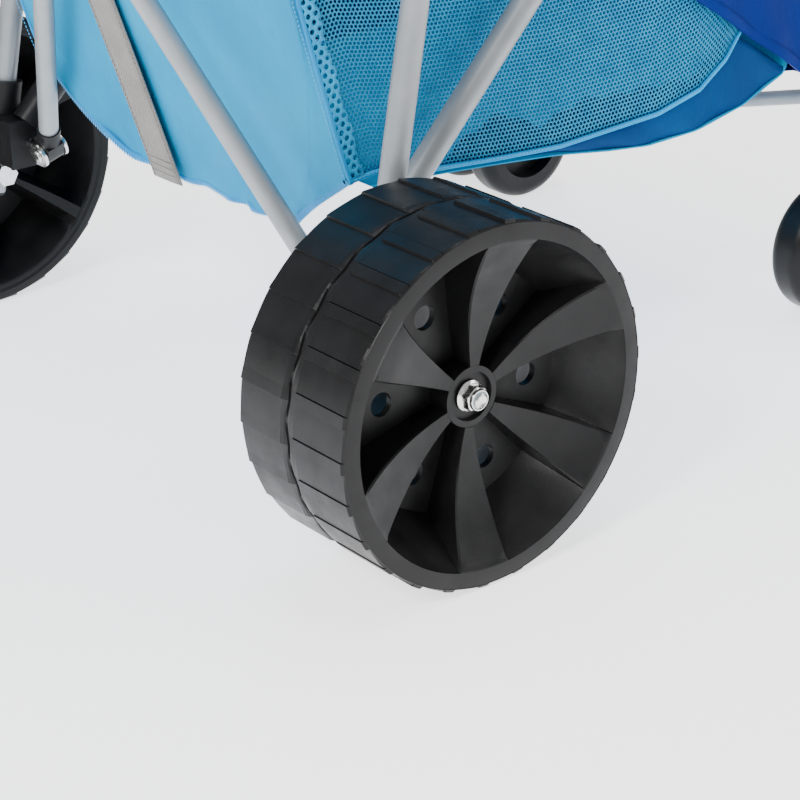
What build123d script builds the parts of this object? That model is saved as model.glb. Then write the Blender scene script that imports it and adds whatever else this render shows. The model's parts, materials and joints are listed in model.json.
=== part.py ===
"""Folding beach cart: two rigid side frames, a scissor brace, a fabric bag and four wheel sets.

+X is forward, +Y is the cart's left, +Z is up. The origin is on the ground, under the middle of
the overall box. Every length is in millimetres.
"""
from build123d import *
from math import atan, cos, radians, sin
import os

os.makedirs("parts", exist_ok=True)

# --- Overall sizes
overall_width = 767.0
wheelbase = 530.0
rail_height = 700.0
handle_post_rise = 285.0  # from the rail to the grip's bend
handle_length = 158.0
handle_rise = 20.0  # degrees above level
grip_length = 122.0
grip_radius = 16.0
grip_overhang = 4.0  # closed end of the grip beyond the tube

# --- Tubes
frame_tube = 19.0
brace_tube = 16.0
spreader_tube = 12.7
tube_wall = 1.2
front_bend_radius = 40.0
rail_bend_radius = 60.0
handle_bend_radius = 45.0

# --- Rear wheels and axles
wheel_diameter = 254.0
wheel_width = 110.6
rim_face_width = 14.0
lug_height = 1.6
lug_count = 26
web_depth = 40.0
web_thickness = 4.0
hub_diameter = 42.0
nut_recess = 30.0
axle_diameter = 10.0
spoke_count = 6
spoke_hole_diameter = 17.0

# --- Rear legs and side struts
rear_leg_lean = 0.1967  # forward travel for each unit of height
rear_leg_foot_height = 110.0
leg_to_wheel = 22.1  # from the rear leg's centre to the wheel's inner face
rear_leg_taper = 0.0157  # inward travel for each unit of height
leg_to_strut = 31.1  # across, at the foot
leg_to_rail = 16.8  # across
strut_taper = 0.017
strut_foot_height = 178.0
strut_foot_setback = 19.7
strut_head_drop = 38.0  # below the rail
strut_head_setback = 65.4  # behind the front leg

# --- Scissor brace
brace_lean = 0.32  # rearward travel for each unit of height
leg_to_brace = 50.8  # across, at the end pins
brace_foot_height = 150.0
brace_foot_setback = 15.0
brace_head_rise = 109.0  # above the rail
brace_pin = 6.0
brace_gap = 0.4
eye_wall = 1.5

# --- Front spreader
spreader_end_height = 184.0
spreader_middle_height = 127.0
spreader_ear_reach = 26.0  # inward from the front leg
spreader_pin = 5.0
spreader_ear = 4.0

# --- Casters
caster_wheel_diameter = 112.0
caster_wheel_width = 34.0
caster_trail = 28.0
caster_wheel_gap = 44.0
caster_axle = 8.0
caster_head_height = 128.0
caster_stem_diameter = 11.0
leg_foot_height = 138.0

# --- Clearances
running_gap = 0.15
seat_gap = 0.1
side_gap = 0.6

# --- Fabric
cloth = 1.6
bag_corner_height = 225.0
bag_hem_height = 177.0
bag_lobe_run = 50.0
bag_lobe_rise = 60.0
bag_floor_height = 208.0
bag_top_drop = 16.0  # below the rail
bag_front_setback = 65.0  # behind the caster wheels' axles
bag_rear_setback = 20.0
tote_depth = 64.0
tote_side_margin = 10.0
tote_bottom_height = 198.0
tote_top_drop = 100.0  # below the rail
strap_width = 38.0
strap_thickness = 2.0
cargo_strap_rise = 283.0
cargo_strap_y = 58.0

knuckle_wall = 5.0
knuckle_reach = 37.8  # from the rear leg's centre in to the knuckle's inner face
strut_socket_wall = 3.0
bracket_plate = 2.5
foot_cup_length = 16.0
slider_length = 34.0
slider_wall = 4.5
slider_plate = 7.0

# --- Places that follow from the sizes above
wheel_radius = wheel_diameter / 2
wheel_outer_y = overall_width / 2
wheel_inner_y = wheel_outer_y - wheel_width
rear_leg_half_width = wheel_inner_y - leg_to_wheel
frame_half_width = rear_leg_half_width - leg_to_rail
strut_half_width = rear_leg_half_width - leg_to_strut
brace_half_width = rear_leg_half_width - leg_to_brace
spreader_half_width = frame_half_width - spreader_ear_reach
bag_half_width = brace_half_width
tote_half_width = bag_half_width - tote_side_margin
handle_bend_height = rail_height + handle_post_rise
brace_head_height = rail_height + brace_head_rise
strut_head_height = rail_height - strut_head_drop
bag_top_height = rail_height - bag_top_drop
tote_top_height = rail_height - tote_top_drop
strut_foot_to_head = wheelbase + caster_trail - strut_head_setback - strut_foot_setback
strut_run = strut_foot_to_head / (strut_head_height - strut_foot_height)
eye_radius = brace_tube / 2 + eye_wall
tube_radius = frame_tube / 2
caster_radius = caster_wheel_diameter / 2
lean_angle = atan(brace_lean)
post_way = Vector(-sin(lean_angle), 0, cos(lean_angle))
brace_normal = Vector(cos(lean_angle), 0, sin(lean_angle))
grip_way = Vector(-cos(radians(handle_rise)), 0, sin(radians(handle_rise)))

post_line_setback = brace_foot_setback + brace_lean * brace_foot_height
handle_reach = brace_lean * handle_bend_height - post_line_setback - handle_length * grip_way.X
rear_reach = handle_reach + grip_overhang + grip_radius * sin(radians(handle_rise))
front_reach = wheelbase + caster_radius
axle_x = (rear_reach - front_reach) / 2

stem_x = axle_x + wheelbase + caster_trail
caster_x = axle_x + wheelbase


def post_x(height):
    """X of the scissor brace's plane, and of the handle posts, at a height."""
    return axle_x + post_line_setback - brace_lean * height


def rear_leg_at(side, height):
    """Centre of a rear leg at a height. It passes through the wheel's centre line."""
    inward = rear_leg_taper * (height - wheel_radius)
    x = axle_x + rear_leg_lean * (height - wheel_radius)
    return Vector(x, side * (rear_leg_half_width - inward), height)


def strut_at(side, height):
    """Centre of a side strut at a height."""
    above = height - strut_foot_height
    x = axle_x + strut_foot_setback + strut_run * above
    return Vector(x, side * (strut_half_width - strut_taper * above), height)


def brace_pin_at(side, height):
    """Centre of a scissor brace's end pin, on the plane between the two braces."""
    return Vector(post_x(height), side * brace_half_width, height)


def save(name, *pieces):
    """Write one node's STEP file. Pieces that share a node stay separate solids."""
    with BuildPart() as node:
        for piece in pieces:
            add(piece.part)
    node.part.label = name
    export_step(node.part, f"parts/{name}.step")


def rod(centre, way, diameter, length, mode=Mode.ADD):
    """A round bar, or with Mode.SUBTRACT a round hole, centred on a point and along a direction."""
    with Locations(Plane(origin=centre, z_dir=way)):
        Cylinder(diameter / 2, length, mode=mode)


def block(centre, way, across, size, mode=Mode.ADD):
    """A box centred on a point, its third size along way and its first along across."""
    with Locations(Plane(origin=centre, x_dir=across, z_dir=way)):
        Box(*size, mode=mode)


def bent_tube(points, bend_radius, diameter):
    """A hollow tube along straight runs joined by one bend radius."""
    with BuildPart() as piece:
        with BuildLine() as route:
            if len(points) == 2:
                Line(*points)
            else:
                FilletPolyline(*points, radius=bend_radius)
        with BuildSketch(Plane(origin=route.line @ 0, z_dir=route.line % 0)):
            Circle(diameter / 2)
            Circle(diameter / 2 - tube_wall, mode=Mode.SUBTRACT)
        sweep()
    return piece


# ---------------------------------------------------------------- side frames
rail_front_x = stem_x - front_bend_radius - 68
rail_rear_x = post_x(rail_height) + 74
handle_corner = Vector(post_x(handle_bend_height), 0, handle_bend_height)


def side_point(side, x, height):
    return Vector(x, side * frame_half_width, height)


def make_front_leg(side):
    """Front leg: up from the caster, then bent back to the rail."""
    top = side_point(side, stem_x, rail_height)
    points = [side_point(side, stem_x, leg_foot_height), top, side_point(side, rail_front_x, rail_height)]
    return bent_tube(points, front_bend_radius, frame_tube)


def make_side_rail(side):
    """Straight rail that the bag hangs from."""
    ends = [side_point(side, rail_front_x, rail_height), side_point(side, rail_rear_x, rail_height)]
    return bent_tube(ends, 0, frame_tube)


def make_handle_post(side):
    """Handle post: bent up from the rail, along the brace's plane, then back to the grip."""
    corner = side_point(side, post_x(rail_height), rail_height)
    bend = side_point(side, handle_corner.X, handle_corner.Z)
    points = [side_point(side, rail_rear_x, rail_height), corner, bend, bend + grip_way * handle_length]
    with BuildPart() as piece:
        with BuildLine() as route:
            FilletPolyline(*points, radius=[rail_bend_radius, handle_bend_radius])
        with BuildSketch(Plane(origin=route.line @ 0, z_dir=route.line % 0)):
            Circle(tube_radius)
            Circle(tube_radius - tube_wall, mode=Mode.SUBTRACT)
        sweep()
    return piece


def make_grip(side):
    """Foam grip pushed over the handle's end, closed behind it."""
    bend = side_point(side, handle_corner.X, handle_corner.Z)
    end = bend + grip_way * handle_length
    with BuildPart() as piece:
        rod(end - grip_way * (grip_length / 2 - grip_overhang), grip_way, 2 * grip_radius, grip_length)
        fillet(piece.edges().filter_by(GeomType.CIRCLE), 4)
        rod(end - grip_way * 100, grip_way, frame_tube + 2 * seat_gap, 200, Mode.SUBTRACT)
    return piece


def make_rail_sleeves(side):
    """Plastic collars over the rail's two joints with the front leg and the handle post."""
    sleeve_length = 46.0
    with BuildPart() as piece:
        for x in (rail_front_x, rail_rear_x):
            centre = side_point(side, x, rail_height)
            rod(centre, Vector(1, 0, 0), frame_tube + 5, sleeve_length)
            rod(centre, Vector(1, 0, 0), frame_tube + 2 * seat_gap, sleeve_length + 2, Mode.SUBTRACT)
        chamfer(piece.edges().filter_by(GeomType.CIRCLE).group_by(SortBy.RADIUS)[-1], 0.8)
    return piece


def make_rear_leg(side):
    """Rear leg, drilled for the axle bolt."""
    foot = rear_leg_at(side, rear_leg_foot_height)
    head = rear_leg_at(side, rail_height - tube_radius - 7)
    with BuildPart() as piece:
        add(bent_tube([foot, head], 0, frame_tube).part)
        axle = Vector(axle_x, side * rear_leg_half_width, wheel_radius)
        rod(axle, Vector(0, 1, 0), axle_diameter + 2 * seat_gap, 60, Mode.SUBTRACT)
    return piece


def make_leg_cap(side):
    """Rounded plug in the open foot of the rear leg."""
    foot = rear_leg_at(side, rear_leg_foot_height)
    way = rear_leg_at(side, rail_height) - foot
    with BuildPart() as piece:
        rod(foot - way.normalized() * 1.5, way, frame_tube, 3 - seat_gap)
        fillet(piece.edges().filter_by(GeomType.CIRCLE).sort_by(Axis.Z)[0], 2.5)
        rod(foot + way.normalized() * 2, way, frame_tube - 2 * tube_wall - 2 * seat_gap, 7)
    return piece


def make_side_strut(side):
    """Forward-leaning strut from the knuckle to the rail."""
    ends = [strut_at(side, strut_foot_height), strut_at(side, strut_head_height)]
    return bent_tube(ends, 0, frame_tube)


def make_rail_socket(side):
    """Plastic tee that holds the rear leg's head under the rail."""
    head = rear_leg_at(side, rail_height - tube_radius - 7)
    way = (head - rear_leg_at(side, rear_leg_foot_height)).normalized()
    rail_centre = side_point(side, head.X + 3, rail_height)
    bore = frame_tube + 2 * seat_gap
    with BuildPart() as piece:
        rod(rail_centre, Vector(1, 0, 0), frame_tube + 9, 48)
        rod(head - way * 12, way, frame_tube + 8, 40)
        rod(rail_centre, Vector(1, 0, 0), bore, 60, Mode.SUBTRACT)
        rod(head - way * 40, way, bore, 80 + 2 * seat_gap, Mode.SUBTRACT)
    return piece


def make_strut_socket(side):
    """Plastic clamp that holds the side strut's head beside the rail."""
    head = strut_at(side, strut_head_height)
    way = (head - strut_at(side, strut_foot_height)).normalized()
    rail_centre = side_point(side, head.X + 6, rail_height)
    bore = frame_tube + 2 * seat_gap
    with BuildPart() as piece:
        rod(rail_centre, Vector(1, 0, 0), frame_tube + 9, 36)
        rod(head - way * 10, way, frame_tube + 8, 44)
        middle = (head + way * 8 + rail_centre) * 0.5
        block(middle, Vector(0, 0, 1), Vector(1, 0, 0), (30, 24, 26))
        rod(rail_centre, Vector(1, 0, 0), bore, 60, Mode.SUBTRACT)
        rod(head - way * 40, way, bore, 80 + 2 * seat_gap, Mode.SUBTRACT)
    return piece


bracket_face = rear_leg_half_width - knuckle_reach


def make_knuckle(side):
    """Plastic knuckle: a ring on the rear leg and a socket for the strut's foot."""
    ring_centre = rear_leg_at(side, strut_foot_height + 5)
    leg_way = (rear_leg_at(side, rail_height) - ring_centre).normalized()
    foot = strut_at(side, strut_foot_height)
    strut_way = (strut_at(side, strut_head_height) - foot).normalized()
    bore = frame_tube + 2 * seat_gap
    inner = side * bracket_face
    outer = side * (rear_leg_half_width - 4)
    pad_centre = Vector(post_x(brace_foot_height) - 1, (inner + outer) / 2, brace_foot_height + 7)
    with BuildPart() as piece:
        rod(ring_centre, leg_way, frame_tube + 2 * knuckle_wall, 40)
        rod(foot + strut_way * 20, strut_way, frame_tube + 2 * strut_socket_wall, 56)
        block(pad_centre, Vector(0, 0, 1), Vector(1, 0, 0), (38, abs(outer - inner), 40))
        rod(ring_centre, leg_way, bore, 140, Mode.SUBTRACT)
        rod(foot + strut_way * 50, strut_way, bore, 100 + 2 * seat_gap, Mode.SUBTRACT)
        bolt_room = Vector(axle_x, side * rear_leg_half_width, wheel_radius)
        rod(bolt_room, Vector(0, 1, 0), 24, 70, Mode.SUBTRACT)
    return piece


def make_brace_bracket(side):
    """Steel clevis on the knuckle's inner face, its two ears square to the brace's end pin."""
    pin = brace_pin_at(side, brace_foot_height) + brace_normal * brace_offset(side)
    ear_gap = brace_tube / 2 + 2 * brace_gap
    with BuildPart() as piece:
        for way in (-1, 1):
            ear = pin + brace_normal * way * (ear_gap + bracket_plate / 2)
            rod(ear, brace_normal, 2 * eye_radius + 2, bracket_plate)
            reach = bracket_face - brace_half_width
            block(ear + Vector(0, side * reach / 2, 0), brace_normal, Vector(0, 1, 0),
                  (reach, 2 * eye_radius + 2, bracket_plate))
        back = pin + Vector(0, side * (bracket_face - brace_half_width - bracket_plate / 2 - seat_gap), 0)
        block(back, brace_normal, Vector(0, 1, 0),
              (bracket_plate, 2 * eye_radius + 2, 2 * (ear_gap + bracket_plate)))
        knuckle_side = Vector(pin.X, side * (bracket_face - seat_gap), pin.Z)
        block(knuckle_side + Vector(0, side * 20, 0), Vector(0, 0, 1), Vector(1, 0, 0), (90, 40, 90),
              Mode.SUBTRACT)
        rod(pin, brace_normal, brace_pin + 2 * seat_gap, 60, Mode.SUBTRACT)
    return piece


def make_lower_pin(side):
    """Riveted pin that the brace's foot turns on."""
    pin = brace_pin_at(side, brace_foot_height) + brace_normal * brace_offset(side)
    half = brace_tube / 2 + 2 * brace_gap + bracket_plate + seat_gap
    with BuildPart() as piece:
        rod(pin, brace_normal, brace_pin, 2 * half + 2)
        for way in (-1, 1):
            rod(pin + brace_normal * way * (half + 1.25), brace_normal, 11, 2.5)
        fillet(piece.edges().filter_by(GeomType.CIRCLE).group_by(SortBy.RADIUS)[-1], 0.8)
    return piece


# ---------------------------------------------------------------- scissor brace


def brace_offset(side):
    """How far a brace lies off the scissor's plane: the one with its foot on the right is behind."""
    return side * (brace_tube / 2 + brace_gap)


def brace_ends(side):
    """Centres of a brace's foot pin and head pin. Its foot is on the side given."""
    shift = brace_normal * brace_offset(side)
    return brace_pin_at(side, brace_foot_height) + shift, brace_pin_at(-side, brace_head_height) + shift


def make_brace(side):
    """Brace tube, drilled for the middle pin and the head pin."""
    foot, head = brace_ends(side)
    way = (head - foot).normalized()
    middle = (foot + head) * 0.5
    with BuildPart() as piece:
        add(bent_tube([foot + way * 12, head + way * 12], 0, brace_tube).part)
        for centre, room in ((middle, running_gap), (head, running_gap)):
            rod(centre, brace_normal, brace_pin + 2 * room, 30, Mode.SUBTRACT)
    return piece


def make_brace_foot(side):
    """Plastic foot over the brace's lower end, with the eye that the pin goes through."""
    foot, head = brace_ends(side)
    way = (head - foot).normalized()
    with BuildPart() as piece:
        rod(foot, brace_normal, 2 * eye_radius, brace_tube)
        block(foot + way * 6, brace_normal, way, (12, 2 * eye_radius, brace_tube))
        rod(foot + way * (11 + foot_cup_length / 2), way, brace_tube + 3.0, foot_cup_length)
        rod(foot + way * 62, way, brace_tube + 2 * seat_gap, 100 + 2 * seat_gap, Mode.SUBTRACT)
        rod(foot, brace_normal, brace_pin + 2 * running_gap, 40, Mode.SUBTRACT)
        for side_way in (-1, 1):
            ear = foot + brace_normal * side_way * (brace_tube / 2 + brace_gap + bracket_plate)
            block(ear, brace_normal, way, (48, 60, 2 * bracket_plate), Mode.SUBTRACT)
    return piece


def make_brace_cap(side):
    """Plastic plug in the brace's upper end."""
    foot, head = brace_ends(side)
    way = (head - foot).normalized()
    end = head + way * 12
    with BuildPart() as piece:
        rod(end + way * 1.5, way, brace_tube, 3 - seat_gap)
        fillet(piece.edges().filter_by(GeomType.CIRCLE).sort_by(Axis.Z)[-1], 2.0)
        rod(end - way * 1.5, way, brace_tube - 2 * tube_wall - 2 * seat_gap, 5)
    return piece


def make_middle_pin():
    """Rivet through the crossing of the two braces, with a spacer washer between them."""
    centre = (brace_pin_at(1, brace_foot_height) + brace_pin_at(-1, brace_head_height)) * 0.5
    half = brace_tube + brace_gap + seat_gap
    with BuildPart() as piece:
        rod(centre, brace_normal, brace_pin, 2 * half + 2)
        for way in (-1, 1):
            rod(centre + brace_normal * way * (half + 1.5), brace_normal, 13, 2.5)
        fillet(piece.edges().filter_by(GeomType.CIRCLE).group_by(SortBy.RADIUS)[-1], 0.9)
    return piece


def make_slider(side):
    """Plastic collar that runs on the handle post, with an ear for a brace's head."""
    centre = Vector(post_x(brace_head_height), side * frame_half_width, brace_head_height)
    pin = brace_pin_at(side, brace_head_height)
    brace_side = -side  # the brace whose head is on this side has its foot on the other
    ear = pin - brace_normal * brace_side * (brace_gap + slider_plate / 2)
    reach = frame_half_width - brace_half_width
    with BuildPart() as piece:
        rod(centre, post_way, frame_tube + 2 * slider_wall, slider_length)
        rod(ear, brace_normal, 20, slider_plate)
        block(ear + Vector(0, side * reach / 2, 0), brace_normal, Vector(0, 1, 0), (reach, 20, slider_plate))
        rod(centre, post_way, frame_tube + 2 * running_gap * 2, slider_length + 40, Mode.SUBTRACT)
        rod(pin, brace_normal, brace_pin + 2 * seat_gap, 60, Mode.SUBTRACT)
    return piece


def make_head_pin(side):
    """Rivet that holds a brace's head on the slider's ear."""
    brace_side = -side
    pin = brace_pin_at(side, brace_head_height)
    tube_face = brace_side * (brace_gap + brace_tube + running_gap * 2)
    ear_face = -brace_side * (brace_gap + slider_plate + seat_gap)
    with BuildPart() as piece:
        middle = pin + brace_normal * (tube_face + ear_face) / 2
        rod(middle, brace_normal, brace_pin, abs(tube_face - ear_face) + 2)
        rod(pin + brace_normal * (tube_face + brace_side * 1.25), brace_normal, 11, 2.5)
        rod(pin + brace_normal * (ear_face - brace_side * 1.25), brace_normal, 11, 2.5)
        fillet(piece.edges().filter_by(GeomType.CIRCLE).group_by(SortBy.RADIUS)[-1], 0.8)
    return piece


# ---------------------------------------------------------------- front spreader
spreader_lane = spreader_ear / 2 + side_gap + spreader_tube / 2


def spreader_ends(side):
    """Centres of a spreader link's leg pin and middle pin. The right link is ahead of the left."""
    x = stem_x - side * spreader_lane
    return Vector(x, side * spreader_half_width, spreader_end_height), Vector(x, 0, spreader_middle_height)


def make_spreader_link(side):
    """Spreader link, drilled at both ends."""
    outer, middle = spreader_ends(side)
    way = (middle - outer).normalized()
    with BuildPart() as piece:
        add(bent_tube([outer - way * 9, middle + way * 9], 0, spreader_tube).part)
        for centre in (outer, middle):
            rod(centre, Vector(1, 0, 0), spreader_pin + 2 * running_gap, 20, Mode.SUBTRACT)
    return piece


def make_spreader_collar(side):
    """Collar clamped on the front leg, with the ear that the spreader link is pinned to."""
    centre = side_point(side, stem_x, spreader_end_height)
    ear = Vector(stem_x, side * spreader_half_width, spreader_end_height)
    reach = frame_half_width - spreader_half_width
    with BuildPart() as piece:
        rod(centre, Vector(0, 0, 1), frame_tube + 7, 34)
        rod(ear, Vector(1, 0, 0), 17, spreader_ear)
        block(ear + Vector(0, side * reach / 2, 0), Vector(1, 0, 0), Vector(0, 1, 0),
              (reach, 17, spreader_ear))
        rod(centre, Vector(0, 0, 1), frame_tube + 2 * seat_gap, 50, Mode.SUBTRACT)
        rod(ear, Vector(1, 0, 0), spreader_pin + 2 * seat_gap, 50, Mode.SUBTRACT)
    return piece


def make_spreader_pin(side):
    """Rivet of a link on its collar."""
    outer, _ = spreader_ends(side)
    link_face = stem_x - side * (spreader_lane + spreader_tube / 2 + 2 * running_gap)
    ear_face = stem_x + side * (spreader_ear / 2 + seat_gap)
    way = -side
    centre = Vector((link_face + ear_face) / 2, outer.Y, outer.Z)
    with BuildPart() as piece:
        rod(centre, Vector(1, 0, 0), spreader_pin, abs(link_face - ear_face) + 1)
        rod(Vector(link_face + way, outer.Y, outer.Z), Vector(1, 0, 0), 10, 2)
        rod(Vector(ear_face - way, outer.Y, outer.Z), Vector(1, 0, 0), 10, 2)
    return piece


def make_spreader_middle_pin():
    """Middle pin, fixed in the right link, with the spacer that keeps the two links apart."""
    _, middle = spreader_ends(-1)
    inner = stem_x + spreader_lane - spreader_tube / 2
    outer = stem_x + spreader_lane + spreader_tube / 2 + running_gap
    with BuildPart() as piece:
        rod(Vector((inner + outer) / 2, 0, middle.Z), Vector(1, 0, 0), spreader_pin, outer - inner + 1)
        rod(Vector(outer + 1, 0, middle.Z), Vector(1, 0, 0), 10, 2)
        rod(Vector(inner - 1.5, 0, middle.Z), Vector(1, 0, 0), 10, 2)
    return piece


# ---------------------------------------------------------------- casters
def make_leg_shoe(side):
    """Plastic shoe on the front leg's foot that takes the caster's stem."""
    centre = side_point(side, stem_x, leg_foot_height)
    up = Vector(0, 0, 1)
    bottom = caster_head_height + side_gap
    with BuildPart() as piece:
        rod(Vector(centre.X, centre.Y, bottom + 16), up, frame_tube + 7, 32)
        fillet(piece.edges().filter_by(GeomType.CIRCLE), 1.2)
        bore_centre = Vector(centre.X, centre.Y, leg_foot_height + 30)
        rod(bore_centre, up, frame_tube + 2 * seat_gap, 60, Mode.SUBTRACT)
        rod(Vector(centre.X, centre.Y, bottom), up, caster_stem_diameter + 2 * running_gap, 80, Mode.SUBTRACT)
    return piece


def make_caster_body(side):
    """Caster body: a head under the leg and an arm back and down to the axle."""
    head = side_point(side, stem_x, caster_head_height - 11)
    axle = side_point(side, caster_x, caster_radius)
    width = caster_wheel_gap - 2 * side_gap - 2
    corner = side * frame_half_width
    with BuildPart() as piece:
        rod(head, Vector(0, 0, 1), 34, 22)
        with BuildSketch(Plane(origin=(0, corner, 0), x_dir=(1, 0, 0), z_dir=(0, -1, 0))):
            with BuildLine():
                Polyline(
                    (caster_x - 12, caster_radius),
                    (caster_x - 10, caster_radius + 34),
                    (stem_x - 15, caster_head_height - 4),
                    (stem_x + 15, caster_head_height - 4),
                    (stem_x + 13, caster_head_height - 32),
                    (caster_x + 12, caster_radius - 4),
                    close=True,
                )
            make_face()
            with Locations((caster_x, caster_radius)):
                Circle(13)
        extrude(amount=width / 2, both=True)
        fillet(piece.edges().filter_by(Axis.Y), 2)
        rod(axle, Vector(0, 1, 0), caster_axle + 2 * seat_gap, 200, Mode.SUBTRACT)
        rod(head, Vector(0, 0, 1), caster_stem_diameter + 2 * seat_gap, 80, Mode.SUBTRACT)
    return piece


def make_caster_stem(side):
    """Steel stem pressed into the caster body, up inside the front leg's shoe."""
    bottom = caster_head_height - 20
    top = caster_head_height + 44
    with BuildPart() as piece:
        rod(side_point(side, stem_x, (bottom + top) / 2), Vector(0, 0, 1), caster_stem_diameter, top - bottom)
        chamfer(piece.edges().filter_by(GeomType.CIRCLE), 1)
    return piece


def make_caster_axle(side):
    """Axle rod with a cap outside each wheel."""
    axle = side_point(side, caster_x, caster_radius)
    half = caster_wheel_gap / 2 + caster_wheel_width
    hub_recess = 6.0
    with BuildPart() as piece:
        rod(axle, Vector(0, 1, 0), caster_axle, 2 * (half - hub_recess) + 2)
        for way in (-1, 1):
            cap = axle + Vector(0, way * (half - hub_recess + 2 + side_gap), 0)
            rod(cap, Vector(0, 1, 0), 18, 4)
        fillet(piece.edges().filter_by(GeomType.CIRCLE).group_by(SortBy.RADIUS)[-1], 1.2)
    return piece


def make_caster_wheel(side, way):
    """Small wheel with a rounded tyre, a dished outer face and a through hub."""
    start = side * frame_half_width + way * caster_wheel_gap / 2
    plane = Plane(origin=(caster_x, start, caster_radius), x_dir=(1, 0, 0), z_dir=(0, way, 0))
    dish_radius = 36.0
    dish_depth = 14.0
    hub_radius = 12.0
    with BuildPart() as piece:
        with BuildSketch(plane):
            Circle(caster_radius)
        extrude(amount=caster_wheel_width)
        fillet(piece.edges().filter_by(GeomType.CIRCLE), 11)
        with BuildSketch(plane.offset(caster_wheel_width)):
            Circle(dish_radius)
            Circle(hub_radius, mode=Mode.SUBTRACT)
        extrude(amount=-dish_depth, mode=Mode.SUBTRACT)
        with BuildSketch(plane.offset(caster_wheel_width)):
            Circle(hub_radius)
        extrude(amount=-6, mode=Mode.SUBTRACT)
        with BuildSketch(plane):
            Circle(caster_axle / 2 + running_gap)
        extrude(amount=caster_wheel_width, mode=Mode.SUBTRACT)
    return piece


# ---------------------------------------------------------------- rear wheels
hub_inner_y = rear_leg_half_width + tube_radius + 3.0
hub_outer_y = wheel_outer_y - nut_recess


def make_rear_wheel(side):
    """Wide moulded wheel: lugged rim, recessed web with round holes, six swept spokes and a hub."""
    out = Vector(0, side, 0)
    inner = Plane(origin=(axle_x, side * wheel_inner_y, wheel_radius), x_dir=(1, 0, 0), z_dir=out)
    hub = Plane(origin=(axle_x, side * hub_inner_y, wheel_radius), x_dir=(1, 0, 0), z_dir=out)
    rim_radius = wheel_radius - lug_height
    rim_inner = rim_radius - rim_face_width + lug_height
    web_start = wheel_width - web_depth - web_thickness
    hub_length = hub_outer_y - hub_inner_y
    with BuildPart() as piece:
        with BuildSketch(inner):
            Circle(rim_radius)
            Circle(rim_inner, mode=Mode.SUBTRACT)
        extrude(amount=wheel_width)
        with BuildSketch(inner.offset(web_start)):
            Circle(rim_inner + 1)
            Circle(hub_diameter / 2 - 1, mode=Mode.SUBTRACT)
            with PolarLocations(0.6 * rim_inner, spoke_count):
                Circle(spoke_hole_diameter / 2, mode=Mode.SUBTRACT)
        extrude(amount=web_thickness)
        with BuildSketch(hub):
            Circle(hub_diameter / 2)
        extrude(amount=hub_length)
        for k in range(spoke_count):
            turn = radians(360 / spoke_count * (k + 0.5))
            spoke_x = (cos(turn), 0, sin(turn))
            with BuildSketch(Plane(origin=inner.origin + out * 8, x_dir=spoke_x, z_dir=out)):
                with BuildLine():
                    foot = (hub_diameter / 2 - 3, -5)
                    heel = (hub_diameter / 2 - 3, 6)
                    tip = (rim_inner + 1, -14)
                    toe = (rim_inner + 1, 22)
                    Line(foot, tip)
                    Line(tip, toe)
                    ThreePointArc(toe, (0.6 * rim_inner, 7), heel)
                    Line(heel, foot)
                make_face()
            extrude(amount=wheel_width - 16)
        cone_depth = nut_recess - 6
        with BuildSketch(inner.offset(wheel_width)):
            Circle(rim_inner)
        extrude(amount=-cone_depth, taper=62, mode=Mode.SUBTRACT)
        with BuildSketch(hub):
            Circle(axle_diameter / 2 + running_gap)
        extrude(amount=hub_length + 20, mode=Mode.SUBTRACT)
        lug_centre = rim_radius + lug_height / 2 - 0.5
        lug_turn = 360 / lug_count
        for start, length, width, turn in ((3, 46, 9, 0), (54, 50, 12, lug_turn / 2)):
            with BuildSketch(inner.offset(start)):
                with PolarLocations(lug_centre, lug_count, start_angle=turn):
                    Rectangle(lug_height + 1, width)
            extrude(amount=length)
        with BuildSketch(inner):
            Circle(wheel_radius + 5)
            Circle(wheel_radius, mode=Mode.SUBTRACT)
        extrude(amount=wheel_width, mode=Mode.SUBTRACT)
    return piece


def make_axle_bolt(side):
    """Axle bolt: its head against the inside of the rear leg, its shank out through the wheel."""
    along = Vector(0, 1, 0)
    centre = Vector(axle_x, 0, wheel_radius)
    head_y = rear_leg_half_width - tube_radius - 3.5
    end_y = hub_outer_y + 12.5
    with BuildPart() as piece:
        rod(centre + along * side * (head_y + end_y) / 2, along, axle_diameter, end_y - head_y)
        rod(centre + along * side * (head_y + 1), along, 20, 2)
        with BuildSketch(Plane(origin=centre + along * side * head_y, x_dir=(1, 0, 0), z_dir=along * -side)):
            RegularPolygon(8.5, 6, major_radius=False)
        extrude(amount=6.4)
    return piece


def make_axle_spacer(side):
    """Bush between the rear leg and the wheel's hub."""
    start = rear_leg_half_width + tube_radius + 3 * seat_gap
    end = hub_inner_y - side_gap
    with BuildPart() as piece:
        centre = Vector(axle_x, side * (start + end) / 2, wheel_radius)
        rod(centre, Vector(0, 1, 0), 22, end - start)
        rod(centre, Vector(0, 1, 0), axle_diameter + 2 * seat_gap, 20, Mode.SUBTRACT)
    return piece


def make_wheel_nut(side):
    """Flange nut outside the wheel's hub."""
    along = Vector(0, side, 0)
    start = Vector(axle_x, side * (hub_outer_y + side_gap), wheel_radius)
    plane = Plane(origin=start, x_dir=(1, 0, 0), z_dir=along)
    with BuildPart() as piece:
        with BuildSketch(plane):
            Circle(11)
        extrude(amount=2.4)
        with BuildSketch(plane.offset(2.4)):
            RegularPolygon(8, 6, major_radius=False)
        extrude(amount=7)
        with BuildSketch(plane):
            Circle(axle_diameter / 2 + seat_gap)
        extrude(amount=12, mode=Mode.SUBTRACT)
    return piece


# ---------------------------------------------------------------- bag
def bag_rear_x(height):
    """X of the bag's rear panel, which lies along the braces and ahead of them."""
    return axle_x + bag_rear_setback - brace_lean * (height - bag_corner_height)


bag_front_x = caster_x - bag_front_setback


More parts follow.
